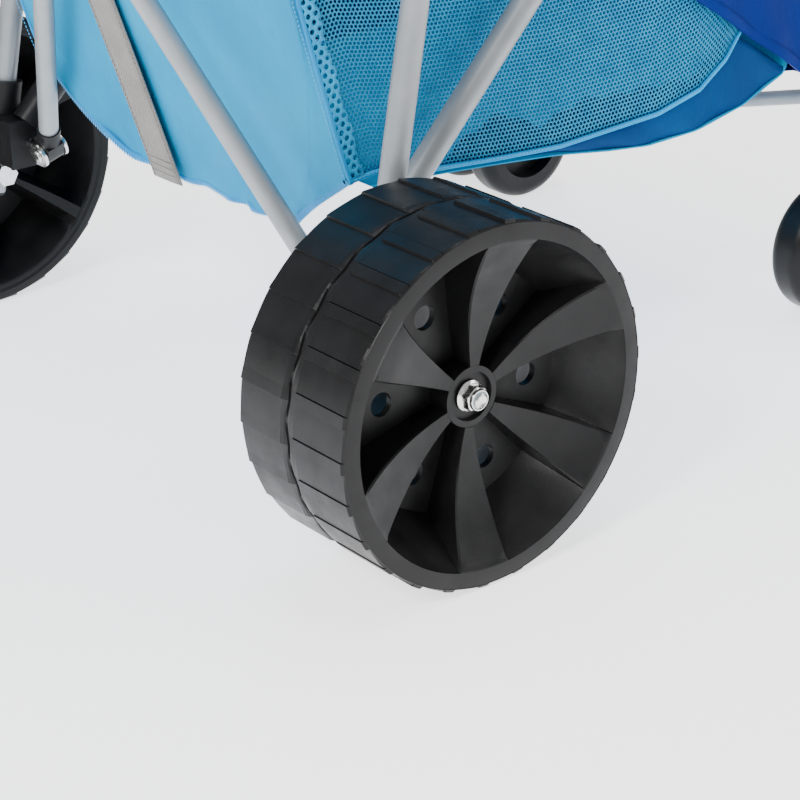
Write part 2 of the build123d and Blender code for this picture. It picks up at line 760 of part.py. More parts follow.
def make_rear_panel():
    """Rear panel, its lower edge dropping to the hem between the two knuckles."""
    height_up = (bag_top_height - bag_hem_height) / post_way.Z
    corner_up = (bag_corner_height - bag_hem_height) / post_way.Z
    plane = Plane(origin=(bag_rear_x(bag_hem_height), 0, bag_hem_height), x_dir=(0, 1, 0), z_dir=brace_normal)
    hem_half = 134.0
    half = bag_half_width - cloth - 0.4
    with BuildPart() as piece:
        with BuildSketch(plane):
            with BuildLine():
                Polyline((-hem_half, 0), (hem_half, 0), (half, corner_up), (half, height_up),
                         (-half, height_up), (-half, corner_up), close=True)
            make_face()
        extrude(amount=cloth)
    return piece


def make_bag_side(side):
    """Mesh side panel, a closed sheet between the rear panel, the floor and the front panel."""
    plane = Plane(origin=(0, side * bag_half_width, 0), x_dir=(1, 0, 0), z_dir=(0, -side, 0))
    corners = [
        (bag_rear_x(bag_floor_height) + cloth + 1, bag_floor_height),
        (bag_front_x - bag_lobe_run, bag_floor_height),
        (bag_front_x, bag_floor_height + bag_lobe_rise),
        (bag_front_x, bag_top_height),
        (bag_rear_x(bag_top_height) + cloth + 1, bag_top_height),
    ]
    if (plane.to_local_coords(Vector(0, 0, 1)) - plane.to_local_coords(Vector(0, 0, 0))).Y < 0:
        corners = [(x, -z) for x, z in corners]
    with BuildPart() as piece:
        with BuildSketch(plane):
            with BuildLine():
                Polyline(*corners, close=True)
            make_face()
        extrude(amount=cloth)
    return piece


def make_bag_floor():
    """Floor panel with its front lobe turned up to meet the front panel."""
    half = bag_half_width - cloth - 0.4
    rear = bag_rear_x(bag_floor_height) + cloth + 1.2
    lobe_x = bag_front_x - bag_lobe_run
    lobe_top = bag_floor_height + bag_lobe_rise
    with BuildPart() as piece:
        with BuildSketch(Plane.XZ.offset(-half)):
            with BuildLine():
                Polyline((rear, bag_floor_height), (lobe_x + 1, bag_floor_height),
                         (bag_front_x + 1, lobe_top),
                         (bag_front_x - 1, lobe_top + cloth), (lobe_x, bag_floor_height + cloth),
                         (rear, bag_floor_height + cloth), close=True)
            make_face()
        extrude(amount=2 * half)
    return piece


def make_front_panel():
    """Front panel of the bag."""
    half = bag_half_width - cloth - 0.4
    low = bag_floor_height + bag_lobe_rise + cloth + 0.6
    with BuildPart() as piece:
        with Locations((bag_front_x - cloth / 2, 0, (low + bag_top_height) / 2)):
            Box(cloth, 2 * half, bag_top_height - low)
    return piece


def make_front_tote():
    """Front tote pocket, open at the top."""
    start = bag_front_x + 4
    with BuildPart() as piece:
        with BuildSketch(Plane.XY.offset(tote_bottom_height)):
            with Locations((start + tote_depth / 2, 0)):
                Rectangle(tote_depth, 2 * tote_half_width)
        extrude(amount=tote_top_height - tote_bottom_height)
        with BuildSketch(Plane.XY.offset(tote_bottom_height + 2)):
            with Locations((start + tote_depth / 2, 0)):
                Rectangle(tote_depth - 4, 2 * tote_half_width - 4)
        extrude(amount=tote_top_height, mode=Mode.SUBTRACT)
    return piece


def make_hang_straps(side):
    """Webbing loops that hang the bag's top edge from the rail."""
    bore = frame_tube + 1.0
    with BuildPart() as piece:
        for x in (rail_rear_x + 60, (rail_rear_x + rail_front_x) / 2, rail_front_x - 60):
            centre = side_point(side, x, rail_height)
            rod(centre, Vector(1, 0, 0), bore + 2 * strap_thickness, strap_width)
            inner = side * (bag_half_width + 0.4)
            outer = side * frame_half_width
            block(Vector(x, (inner + outer) / 2, rail_height), Vector(1, 0, 0), Vector(0, 1, 0),
                  (abs(outer - inner), strap_thickness, strap_width))
            block(Vector(x, inner + side * strap_thickness / 2, rail_height - 22), Vector(1, 0, 0),
                  Vector(0, 1, 0), (strap_thickness, 44 + strap_thickness, strap_width))
            rod(centre, Vector(1, 0, 0), bore, strap_width + 10, Mode.SUBTRACT)
    return piece


def make_cargo_strap():
    """Strap sewn slantwise down the rear panel to the hem."""
    low_height = bag_hem_height + 10
    high_height = low_height + cargo_strap_rise
    low = Vector(bag_rear_x(low_height), cargo_strap_y, low_height)
    high = Vector(bag_rear_x(high_height), cargo_strap_y, high_height)
    way = (high - low).normalized()
    shift = brace_normal * -(0.4 + strap_thickness / 2)
    with BuildPart() as piece:
        middle = (low + high) * 0.5 + shift
        block(middle, brace_normal, way, ((high - low).length, strap_width, strap_thickness))
    return piece


for name, side in (("right", -1), ("left", 1)):
    save(f"front_leg_{name}", make_front_leg(side))
    save(f"side_rail_{name}", make_side_rail(side))
    save(f"handle_post_{name}", make_handle_post(side))
    save(f"handle_grip_{name}", make_grip(side))
    save(f"rear_leg_{name}", make_rear_leg(side))
    save(f"side_strut_{name}", make_side_strut(side))
    save(f"rail_joints_{name}", make_rail_sleeves(side), make_rail_socket(side), make_strut_socket(side))
    save(f"leg_ends_{name}", make_leg_cap(side), make_leg_shoe(side))
    save(f"frame_knuckle_{name}", make_knuckle(side))
    save(f"brace_bracket_{name}", make_brace_bracket(side))
    save(f"frame_pins_{name}", make_lower_pin(side), make_spreader_pin(side))
    save(f"rear_brace_{name}", make_brace(side))
    save(f"brace_ends_{name}", make_brace_foot(side), make_brace_cap(side))
    save(f"brace_slider_{name}", make_slider(side))
    save(f"spreader_link_{name}", make_spreader_link(side))
    save(f"spreader_collar_{name}", make_spreader_collar(side))
    save(f"caster_body_{name}", make_caster_body(side))
    save(f"caster_pins_{name}", make_caster_stem(side), make_caster_axle(side))
    save(f"caster_wheel_{name}_inner", make_caster_wheel(side, -side))
    save(f"caster_wheel_{name}_outer", make_caster_wheel(side, side))
    save(f"rear_wheel_{name}", make_rear_wheel(side))
    save(f"axle_bolt_{name}", make_axle_bolt(side), make_axle_spacer(side))
    save(f"wheel_nut_{name}", make_wheel_nut(side))
    save(f"bag_mesh_{name}", make_bag_side(side))
    save(f"hang_straps_{name}", make_hang_straps(side))
save("brace_pins_right", make_middle_pin(), make_head_pin(1))
save("brace_pins_left", make_head_pin(-1))
save("spreader_middle_pin", make_spreader_middle_pin())
save("bag_rear_panel", make_rear_panel())
save("bag_floor", make_bag_floor())
save("bag_front_panel", make_front_panel())
save("front_tote", make_front_tote())
save("cargo_strap", make_cargo_strap())
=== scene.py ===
import bmesh
import bpy
import json
import math
import numpy as np
from mathutils import Matrix, Vector, noise


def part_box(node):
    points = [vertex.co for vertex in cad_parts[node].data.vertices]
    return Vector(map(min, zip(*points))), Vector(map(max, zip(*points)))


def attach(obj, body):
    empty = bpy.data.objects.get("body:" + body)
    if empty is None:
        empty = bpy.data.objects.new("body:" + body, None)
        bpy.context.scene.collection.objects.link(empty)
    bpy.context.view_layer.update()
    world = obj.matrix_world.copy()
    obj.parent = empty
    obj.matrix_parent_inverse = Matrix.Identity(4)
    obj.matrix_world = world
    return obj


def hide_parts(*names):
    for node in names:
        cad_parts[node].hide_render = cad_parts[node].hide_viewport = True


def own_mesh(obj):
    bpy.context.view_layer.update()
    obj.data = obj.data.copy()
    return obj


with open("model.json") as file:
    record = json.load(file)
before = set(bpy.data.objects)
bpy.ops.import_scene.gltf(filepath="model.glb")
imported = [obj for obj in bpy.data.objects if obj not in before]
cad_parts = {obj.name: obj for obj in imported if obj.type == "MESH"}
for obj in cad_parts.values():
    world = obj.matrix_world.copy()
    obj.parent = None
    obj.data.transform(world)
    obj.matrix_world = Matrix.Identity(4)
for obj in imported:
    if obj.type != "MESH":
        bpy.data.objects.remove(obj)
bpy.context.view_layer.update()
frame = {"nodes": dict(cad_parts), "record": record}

TAU = 2 * math.pi
SIDES = (("right", -1), ("left", 1))

# ------------------------------------------------------------------ places read from the frame
wheel_low, wheel_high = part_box("rear_wheel_right")
AXLE = Vector(((wheel_low.x + wheel_high.x) / 2, 0, (wheel_low.z + wheel_high.z) / 2))
WHEEL_OUTER_Y = -wheel_low.y
HALF_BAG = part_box("bag_mesh_left")[1].y


# ------------------------------------------------------------------ camera, light and floor
def make_camera():
    """Camera at the photograph's viewing angle, aimed past the near rear wheel."""
    azimuth, elevation, roll = math.radians(38.62), math.radians(24.2), math.radians(0.86)
    forward = Vector((math.sin(azimuth) * math.cos(elevation), math.cos(azimuth) * math.cos(elevation),
                      -math.sin(elevation)))
    level = Vector((math.cos(azimuth), -math.sin(azimuth), 0))
    up = level.cross(forward)
    right = level * math.cos(roll) - up * math.sin(roll)
    up = right.cross(forward)
    turn = Matrix((right, up, -forward)).transposed().to_4x4()
    camera = bpy.data.objects.new("camera", bpy.data.cameras.new("camera"))
    camera.matrix_world = Matrix.Translation(Vector((AXLE.x - 0.9238, -1.4386, 0.7643))) @ turn
    camera.data.sensor_width = 36.0
    camera.data.lens = 107.9
    bpy.context.scene.collection.objects.link(camera)
    bpy.context.scene.camera = camera


def area_light(name, place, target, size, power, color=(1, 1, 1)):
    light = bpy.data.objects.new(name, bpy.data.lights.new(name, "AREA"))
    light.data.shape = "DISK"
    light.data.size = size
    light.data.energy = power
    light.data.color = color
    light.location = place
    light.rotation_euler = (Vector(target) - Vector(place)).to_track_quat("-Z", "Y").to_euler()
    bpy.context.scene.collection.objects.link(light)


def make_studio():
    """Pale floor and soft overhead studio light."""
    mesh = bpy.data.meshes.new("studio_floor")
    half = 12.0
    corners = [(-half, -half, 0), (half, -half, 0), (half, half, 0), (-half, half, 0)]
    mesh.from_pydata(corners, [], [(0, 1, 2, 3)])
    floor = bpy.data.objects.new("studio_floor", mesh)
    bpy.context.scene.collection.objects.link(floor)
    material = bpy.data.materials.new("pale_floor")
    material.use_nodes = True
    shader = material.node_tree.nodes["Principled BSDF"]
    shader.inputs["Base Color"].default_value = (0.98, 0.98, 0.985, 1)
    shader.inputs["Roughness"].default_value = 0.5
    shader.inputs["Specular IOR Level"].default_value = 0.25
    shader.inputs["Emission Color"].default_value = (1.0, 1.0, 1.0, 1)
    shader.inputs["Emission Strength"].default_value = 1.7
    mesh.materials.append(material)
    world = bpy.data.worlds.new("studio_world")
    bpy.context.scene.world = world
    world.use_nodes = True
    world.node_tree.nodes["Background"].inputs["Color"].default_value = (0.96, 0.975, 1.0, 1)
    world.node_tree.nodes["Background"].inputs["Strength"].default_value = 0.62
    area_light("key_light", (-3.2, -1.5, 2.9), (-0.1, 0.0, 0.25), 1.2, 150)
    area_light("top_light", (0.4, 0.2, 3.6), (0.0, 0.0, 0.3), 2.4, 62)
    area_light("side_light", (2.6, -2.4, 1.5), (0.0, -0.2, 0.2), 1.0, 22)


make_camera()
make_studio()


# ------------------------------------------------------------------ node helpers for materials
class Paint:
    """A material's node tree with short calls for the nodes that it needs."""

    def __init__(self, name):
        self.material = bpy.data.materials.new(name)
        self.material.use_nodes = True
        self.tree = self.material.node_tree
        self.shader = self.tree.nodes["Principled BSDF"]

    def node(self, kind, **values):
        made = self.tree.nodes.new("ShaderNode" + kind)
        for key, value in values.items():
            setattr(made, key, value)
        return made

    def link(self, source, target):
        self.tree.links.new(source, target)

    def place(self, kind="Object"):
        return self.node("TexCoord").outputs[kind]

    def scaled(self, source, scale, turn=(0, 0, 0)):
        mapping = self.node("Mapping")
        mapping.inputs["Scale"].default_value = scale
        mapping.inputs["Rotation"].default_value = turn
        self.link(source, mapping.inputs["Vector"])
        return mapping.outputs["Vector"]

    def noise(self, scale, detail=3.0, where=None, rough=0.55):
        made = self.node("TexNoise")
        made.inputs["Scale"].default_value = scale
        made.inputs["Detail"].default_value = detail
        made.inputs["Roughness"].default_value = rough
        self.link(where or self.place(), made.inputs["Vector"])
        return made.outputs["Fac"]

    def math(self, kind, a, b=0.0, c=0.0):
        made = self.node("Math", operation=kind)
        for socket, value in zip(made.inputs, (a, b, c)):
            if isinstance(value, (int, float)):
                socket.default_value = value
            else:
                self.link(value, socket)
        return made.outputs["Value"]

    def spread(self, source, low, high, start=0.35, end=0.65):
        made = self.node("MapRange")
        made.inputs["From Min"].default_value = start
        made.inputs["From Max"].default_value = end
        made.inputs["To Min"].default_value = low
        made.inputs["To Max"].default_value = high
        self.link(source, made.inputs["Value"])
        return made.outputs["Result"]

    def ramp(self, source, stops):
        made = self.node("ValToRGB")
        ends = made.color_ramp.elements
        while len(ends) < len(stops):
            ends.new(0.5)
        for end, (place, color) in zip(ends, stops):
            end.position = place
            end.color = (*color, 1)
        self.link(source, made.inputs["Fac"])
        return made.outputs["Color"]

    def bump(self, height, strength, distance, normal=None):
        made = self.node("Bump")
        made.inputs["Strength"].default_value = strength
        made.inputs["Distance"].default_value = distance
        self.link(height, made.inputs["Height"])
        if normal:
            self.link(normal, made.inputs["Normal"])
        return made.outputs["Normal"]

    def set(self, **values):
        for key, value in values.items():
            socket = self.shader.inputs[key.replace("_", " ")]
            if isinstance(value, (int, float, tuple)):
                socket.default_value = value
            else:
                self.link(value, socket)
        return self.material


def powder_coat():
    """Grey satin powder coat: fine orange peel and a slight cloudiness."""
    p = Paint("powder_coat")
    cloud = p.noise(22, 4)
    color = p.ramp(cloud, ((0.3, (0.27, 0.29, 0.305)), (0.7, (0.34, 0.36, 0.375))))
    peel = p.bump(p.noise(900, 2), 0.22, 0.0004)
    rough = p.spread(p.noise(60, 3), 0.36, 0.5)
    return p.set(Base_Color=color, Roughness=rough, Normal=peel, Metallic=0.35, Specular_IOR_Level=0.5)


def moulded_plastic(name, dark, light, smooth, rough, grain=1600):
    """Moulded black plastic: fine spark-eroded grain, cloudy gloss and pale scuffs."""
    p = Paint(name)
    color = p.ramp(p.noise(35, 5), ((0.35, dark), (0.7, light)))
    fine = p.bump(p.noise(grain, 2), 0.28, 0.00035)
    wavy = p.bump(p.noise(18, 2), 0.12, 0.002, fine)
    return p.set(Base_Color=color, Roughness=p.spread(p.noise(45, 4), smooth, rough), Normal=wavy,
                 Specular_IOR_Level=0.2)


def zinc_steel():
    """Bright zinc plate with a faint spangle."""
    p = Paint("zinc_plate")
    spangle = p.noise(420, 3)
    color = p.ramp(spangle, ((0.3, (0.62, 0.62, 0.6)), (0.7, (0.8, 0.8, 0.78))))
    normal = p.bump(p.noise(240, 3), 0.15, 0.0005)
    return p.set(Base_Color=color, Metallic=1.0, Roughness=p.spread(spangle, 0.16, 0.32), Normal=normal)


def foam():
    """Black foam grip with a cellular skin."""
    p = Paint("foam_skin")
    cells = p.node("TexVoronoi")
    cells.inputs["Scale"].default_value = 900
    p.link(p.place(), cells.inputs["Vector"])
    color = p.ramp(p.noise(80, 4), ((0.3, (0.012, 0.012, 0.013)), (0.75, (0.035, 0.035, 0.037))))
    return p.set(Base_Color=color, Roughness=0.88, Normal=p.bump(cells.outputs["Distance"], 0.6, 0.0006),
                 Sheen_Weight=0.25, Sheen_Roughness=0.6)


def weave_height(p, where, pitch):
    """Height of a plain weave in the sheet's own coordinates: warp and weft rise in turn."""
    split = p.node("SeparateXYZ")
    p.link(where, split.inputs["Vector"])
    turns = math.pi / pitch
    across = p.math("SINE", p.math("MULTIPLY", split.outputs["X"], turns))
    along = p.math("SINE", p.math("MULTIPLY", split.outputs["Y"], turns))
    over = p.math("MULTIPLY", across, along)
    warp = p.math("ABSOLUTE", across)
    weft = p.math("ABSOLUTE", along)
    choose = p.math("GREATER_THAN", over, 0.0)
    mixed = p.math("ADD", p.math("MULTIPLY", warp, choose),
                   p.math("MULTIPLY", weft, p.math("SUBTRACT", 1.0, choose)))
    return mixed


def oxford(name, shade, middle, light, pitch=0.0011, sheen=0.25):
    """Coated oxford cloth: plain weave, thread-to-thread tone changes and soft creases."""
    p = Paint(name)
    where = p.place("UV")
    height = weave_height(p, where, pitch)
    threads = p.noise(700, 2, p.scaled(where, (1, 0.06, 1)))
    broad = p.noise(7, 4)
    tone = p.math("ADD", p.math("MULTIPLY", broad, 0.75), p.math("MULTIPLY", threads, 0.25))
    color = p.ramp(tone, ((0.25, shade), (0.5, middle), (0.75, light)))
    fine = p.bump(height, 0.35, 0.0003)
    crease = p.bump(p.noise(26, 5, rough=0.6), 0.3, 0.003, fine)
    return p.set(Base_Color=color, Roughness=p.spread(p.noise(12, 3), 0.5, 0.66), Normal=crease,
                 Sheen_Weight=sheen, Sheen_Roughness=0.45, Specular_IOR_Level=0.07)


def webbing():
    """Grey webbing: a plain weave of crossing threads with a cloudy tone."""
    p = Paint("grey_webbing_weave")
    where = p.place("UV")
    height = weave_height(p, where, 0.0016)
    tone = p.math("ADD", p.math("MULTIPLY", height, 0.35), p.math("MULTIPLY", p.noise(30, 4), 0.65))
    color = p.ramp(tone, ((0.25, (0.13, 0.12, 0.11)), (0.75, (0.27, 0.255, 0.235))))
    return p.set(Base_Color=color, Roughness=0.8, Normal=p.bump(height, 0.8, 0.0006), Sheen_Weight=0.3,
                 Sheen_Roughness=0.5)


def open_mesh(name, color_low, color_high, cell, hole):
    """Knitted mesh: staggered round holes in the sheet's own coordinates."""
    p = Paint(name)
    where = p.place("UV")
    split = p.node("SeparateXYZ")
    p.link(where, split.inputs["Vector"])

    def lattice(shift):
        u = p.math("ADD", p.math("DIVIDE", split.outputs["X"], cell), shift)
        v = p.math("ADD", p.math("DIVIDE", split.outputs["Y"], cell * 1.732), shift)
        du = p.math("SUBTRACT", p.math("FRACT", u), 0.5)
        dv = p.math("MULTIPLY", p.math("SUBTRACT", p.math("FRACT", v), 0.5), 1.732)
        return p.math("SQRT", p.math("ADD", p.math("MULTIPLY", du, du), p.math("MULTIPLY", dv, dv)))

    nearest = p.math("MINIMUM", lattice(0.0), lattice(0.5))
    solid = p.spread(nearest, 0.0, 1.0, hole - 0.035, hole + 0.035)
    color = p.ramp(p.noise(60, 4), ((0.3, color_low), (0.7, color_high)))
    height = p.spread(nearest, 0.0, 1.0, hole, 0.55)
    material = p.set(Base_Color=color, Alpha=solid, Roughness=0.6, Normal=p.bump(height, 0.6, 0.0008),
                     Sheen_Weight=0.03, Specular_IOR_Level=0.25)
    material.surface_render_method = "DITHERED"
    return material


BLACK = ((0.006, 0.006, 0.0065), (0.012, 0.012, 0.013))
WHEEL_BLACK = ((0.0055, 0.0055, 0.0058), (0.010, 0.010, 0.0105))
CYAN = ((0.0, 0.22, 0.45), (0.0, 0.285, 0.54), (0.0, 0.35, 0.62))
NAVY = ((0.0, 0.008, 0.1), (0.0, 0.015, 0.16), (0.0, 0.026, 0.22))
MESH_BLUE = ((0.0, 0.2, 0.42), (0.01, 0.28, 0.52))

MATERIALS = {
    "frame_tube": powder_coat(),
    "black_plastic": moulded_plastic("black_moulding", *BLACK, 0.36, 0.52),
    "wheel_plastic": moulded_plastic("wheel_moulding", *WHEEL_BLACK, 0.30, 0.44, 1100),
    "zinc_steel": zinc_steel(),
    "foam_grip": foam(),
    "blue_fabric": oxford("blue_oxford", *CYAN, sheen=0.0),
    "blue_mesh": open_mesh("blue_mesh_knit", *MESH_BLUE, 0.0036, 0.335),
    "navy_fabric": oxford("navy_oxford", *NAVY, sheen=0.02),
    "grey_webbing": webbing(),
}
SLOT_OF = {part["node"]: part["material_slot"] for part in frame["record"]["subparts"]}


def finish_cad_nodes():
    """Give every CAD node its slot's material."""
    for name, node in frame["nodes"].items():
        node.data.materials.clear()
        node.data.materials.append(MATERIALS[SLOT_OF[name]])


finish_cad_nodes()


# ------------------------------------------------------------------ mesh helpers
def new_piece(name, vertices, faces, material, uv=None):
    """A mesh object from vertices and faces, with one UV per vertex where given."""
    mesh = bpy.data.meshes.new(name)
    mesh.from_pydata([tuple(v) for v in vertices], [], faces)
    mesh.validate()
    if uv is not None:
        layer = mesh.uv_layers.new(name="UVMap")
        corner_vertex = np.zeros(len(mesh.loops), int)
        mesh.loops.foreach_get("vertex_index", corner_vertex)
        layer.data.foreach_set("uv", np.asarray(uv, float)[corner_vertex].ravel())
    mesh.materials.append(material)
    mesh.polygons.foreach_set("use_smooth", [True] * len(mesh.polygons))
    piece = bpy.data.objects.new(name, mesh)
    bpy.context.scene.collection.objects.link(piece)
    return piece


def sharpen(piece, angle):
    """Keep edges sharper than an angle hard while the rest shades smoothly."""
    work = bmesh.new()
    work.from_mesh(piece.data)
    work.normal_update()
    for edge in work.edges:
        if len(edge.link_faces) == 2:
            edge.smooth = edge.calc_face_angle(0) < math.radians(angle)
    work.to_mesh(piece.data)
    work.free()


def turn_outward(piece):
    """Turn every face of a closed mesh to look outward."""
    work = bmesh.new()
    work.from_mesh(piece.data)
    bmesh.ops.recalc_face_normals(work, faces=work.faces)
    work.to_mesh(piece.data)
    work.free()


def grid_faces(rows, columns, wrap_rows=False, wrap_columns=False, start=0):
    """Quads of a grid whose vertices run column by column within each row."""
    faces = []
    for i in range(rows if wrap_rows else rows - 1):
        for j in range(columns if wrap_columns else columns - 1):
            a = i * columns + j
            b = i * columns + (j + 1) % columns
            c = (i + 1) % rows * columns + (j + 1) % columns
            d = (i + 1) % rows * columns + j
            faces.append((start + a, start + b, start + c, start + d))
    return faces


# ------------------------------------------------------------------ rear wheels
SPOKES = 6
SPOKE_TURN = 24.0  # degrees from forward to the first blade
SPOKE_HALF = 10.5  # degrees
RING_R = 0.1132
TYRE_R = 0.1246
TREAD_R = 0.1249
HUB_R = 0.0225
BORE_R = 0.0052
BLADE_RIM_R = 0.1125
BLADE_HUB_DEPTH = 0.0262
FLOOR_DEPTH = 0.0435
HUB_DEPTH = 0.030
HUB_PROUD = 0.0096  # hub's reach past the inner face
WHEEL_W = WHEEL_OUTER_Y + wheel_high.y - HUB_PROUD
PITCHES = 26
BAR = 0.285  # share of a pitch that its raised bar takes
OUTER_BAND = (0.0535, 0.1085)
INNER_BAND = (0.002, 0.049)
HOLE_R = 0.0085
HOLE_RING_R = 0.062


def wheel_point(side, radius, angle, width):
    """A point of a rear wheel from its radius, its angle and its width from the inner face."""
    y = side * (WHEEL_OUTER_Y - WHEEL_W + width)
    return AXLE.x + radius * math.cos(angle), y, AXLE.z + radius * math.sin(angle)


def blend_step(value, low, high):
    t = min(1.0, max(0.0, (value - low) / (high - low)))
    return t * t * (3 - 2 * t)


def tread_height(phase, width):
    """Height of the tread above its base: each pitch has a bar, then a facet that rises to the next."""
    climb = (phase - 0.28) / 0.72
    if OUTER_BAND[0] <= width <= OUTER_BAND[1]:
        if phase > BAR:
            return 0.0013 * climb
        return 0.0020 if width > 0.0588 and 0.006 < phase < 0.279 else 0.0
    if INNER_BAND[0] <= width <= INNER_BAND[1]:
        return 0.0012 + 0.0008 * phase / 0.28 if phase <= 0.28 else 0.0003 + 0.0009 * climb
    return 0.0


def tyre(side):
    """Tyre ring: two bands of tread with a broken groove between them and rounded shoulders."""
    phases = (0.0, 0.012, 0.14, 0.268, BAR, 0.4, 0.52, 0.64, 0.76, 0.88, 0.988)
    base = TREAD_R
    groove = base - 0.0016
    inner_band = [(width, base) for width in (0.0024, 0.0048, 0.012, 0.024, 0.036, 0.0455, 0.0485, 0.0500)]
    outer_band = [(width, base) for width in (0.0527, 0.0540, 0.0586, 0.0591, 0.066, 0.080, 0.094, 0.1040,
                                              0.1072, 0.1084)]
    rows = [(0.0020, RING_R), (0.0004, 0.1185), (0.0004, TYRE_R - 0.001), (0.0008, 0.1247)]
    rows += inner_band + [(0.0505, groove), (0.0522, groove)] + outer_band
    rows += [(0.1097, base - 0.0001), (0.1103, TYRE_R - 0.0002), (0.1085, TYRE_R - 0.0003),
             (0.1050, TYRE_R - 0.004)]
    vertices = []
    for width, radius in rows:
        for pitch in range(PITCHES):
            for phase in phases:
                angle = (pitch + phase) / PITCHES * TAU
                lift = tread_height(phase, width) if radius == base else 0.0
                if width in (0.0540, 0.0485):
                    lift *= 0.6
                zigzag = 0.0009 * math.sin(TAU * phase) if 0.0495 < width < 0.053 else 0.0
                bridge = 0.0012 if radius == groove and 0.55 < phase < 0.8 else 0.0
                vertices.append(wheel_point(side, radius + lift + bridge, angle, width + zigzag))
    columns = PITCHES * len(phases)
    return vertices, grid_faces(len(rows), columns, wrap_columns=True)


def dish(side):
    """Wheel face and back: six bulged blades over a coned recess, joined at the ring and the bore."""
    blade = (-10.5, -9.8, -6.5, -2.5, 2.5, 6.5, 9.8, 10.5)
    pocket = (10.9, 11.6, 14, 18, 22, 26, 30, 34, 38, 42, 46, 48.4, 49.1)
    columns = [(k, phi) for k in range(SPOKES) for phi in blade + pocket]

    def front_depth(radius, phi):
        blade_depth = BLADE_HUB_DEPTH * (1 - ((radius - HUB_R) / (BLADE_RIM_R - HUB_R)) ** 2)
        if abs(phi) <= SPOKE_HALF:
            bevel = 0.0012 if abs(phi) > 10 else 0.0
            return max(0.0, blade_depth) + bevel * blend_step(0.112 - radius, 0, 0.004)
        cone = 0.0014 + (0.0421 * (0.1124 - radius) / 0.0264)
        return max(max(0.0, blade_depth), min(FLOOR_DEPTH, cone)) if radius < 0.1124 else 0.0

    def back_depth(radius, phi):
        rib = abs(phi) < 3
        if rib:
            return 0.002 + 0.02 * (1 - (radius - 0.02) / 0.093)
        cone = 0.002 + 0.060 * (0.1115 - radius) / 0.017
        return min(0.062, max(0.002, cone))

    rows = []
    for radius in (TYRE_R - 0.0003, 0.1190, 0.1136):
        rows.append(("face", radius))
    for radius in (0.1130, 0.1122, 0.1095, 0.104, 0.097, 0.0905, 0.0866, 0.0858, 0.083, 0.076, 0.069, 0.060,
                   0.051, 0.042, 0.034, 0.028, 0.0245, 0.0226, 0.0218):
        rows.append(("front", radius))
    rows += [("collar", 0.0211), ("collar", 0.0170), ("hub", 0.0163), ("hub", BORE_R), ("bore", BORE_R),
             ("back_hub", BORE_R), ("back_hub", 0.0165), ("back_hub", 0.0172), ("back_neck", 0.0172)]
    for radius in (0.0200, 0.030, 0.045, 0.060, 0.075, 0.090, 0.0942, 0.0950, 0.100, 0.106, 0.1112, 0.1120):
        rows.append(("back", radius))
    rows += [("rim", 0.1150), ("rim", 0.1232)]
    vertices = []
    for kind, radius in rows:
        for k, phi in columns:
            reach = min(1.0, max(0.0, (radius - 0.022) / 0.091))
            swell = 1.2 * math.sin(math.pi * reach)
            weight = (phi + SPOKE_HALF) / (2 * SPOKE_HALF) if phi <= SPOKE_HALF else (49.5 - phi) / 39
            angle = math.radians(SPOKE_TURN + 60 * k + phi + swell * max(0.0, weight))
            if kind == "face":
                width = WHEEL_W - (0.0006 if radius > 0.124 else 0.0)
            elif kind == "front":
                width = WHEEL_W - front_depth(radius, phi)
            elif kind == "collar":
                width = WHEEL_W - 0.0266
            elif kind == "hub":
                width = WHEEL_W - HUB_DEPTH
            elif kind == "bore":
                width = WHEEL_W * 0.5
            elif kind == "back_hub":
                width = (0.0008 if radius > 0.017 else 0.0) - HUB_PROUD
            elif kind == "back_neck":
                width = 0.03
            elif kind == "back":
                width = back_depth(radius, phi if phi < 30 else phi - 60)
            else:
                width = 0.0012
            vertices.append(wheel_point(side, radius, angle, width))
    return vertices, grid_faces(len(rows), len(columns), wrap_rows=True, wrap_columns=True)


def drilled(name, vertices, faces, side):
    """The dish with its six round holes cut through the web."""
    solid = new_piece(name + "_whole", vertices, faces, MATERIALS["wheel_plastic"])
    points, walls = [], []
    for k in range(SPOKES):
        angle = math.radians(SPOKE_TURN + 30 + 60 * k)
        centre = wheel_point(side, HOLE_RING_R, angle, 0.0)
        start = len(points)
        for width in (0.054, 0.075):
            for step in range(32):
                turn = TAU * step / 32
                _, y, _ = wheel_point(side, 0, 0, width)
                points.append((centre[0] + HOLE_R * math.cos(turn), y, centre[2] + HOLE_R * math.sin(turn)))
        walls += grid_faces(2, 32, wrap_columns=True, start=start)
        walls += [tuple(range(start, start + 32)), tuple(range(start + 63, start + 31, -1))]
    cutter = new_piece(name + "_drill", points, walls, MATERIALS["wheel_plastic"])
    turn_outward(solid)
    turn_outward(cutter)
    cut = solid.modifiers.new("cut", "BOOLEAN")
    cut.object = cutter
    cut.operation = "DIFFERENCE"
    cut.solver = "EXACT"
    bpy.context.view_layer.update()
    whole = solid.evaluated_get(bpy.context.evaluated_depsgraph_get())
    made = bpy.data.meshes.new_from_object(whole)
    bpy.data.objects.remove(solid)
    bpy.data.objects.remove(cutter)
    return made


def nylon():
    p = Paint("nylon_insert")
    cloud = p.noise(300, 2)
    color = p.ramp(cloud, ((0.3, (0.35, 0.42, 0.46)), (0.7, (0.45, 0.52, 0.56))))
    return p.set(Base_Color=color, Roughness=0.4, Normal=p.bump(cloud, 0.1, 0.0003))


NYLON = nylon()


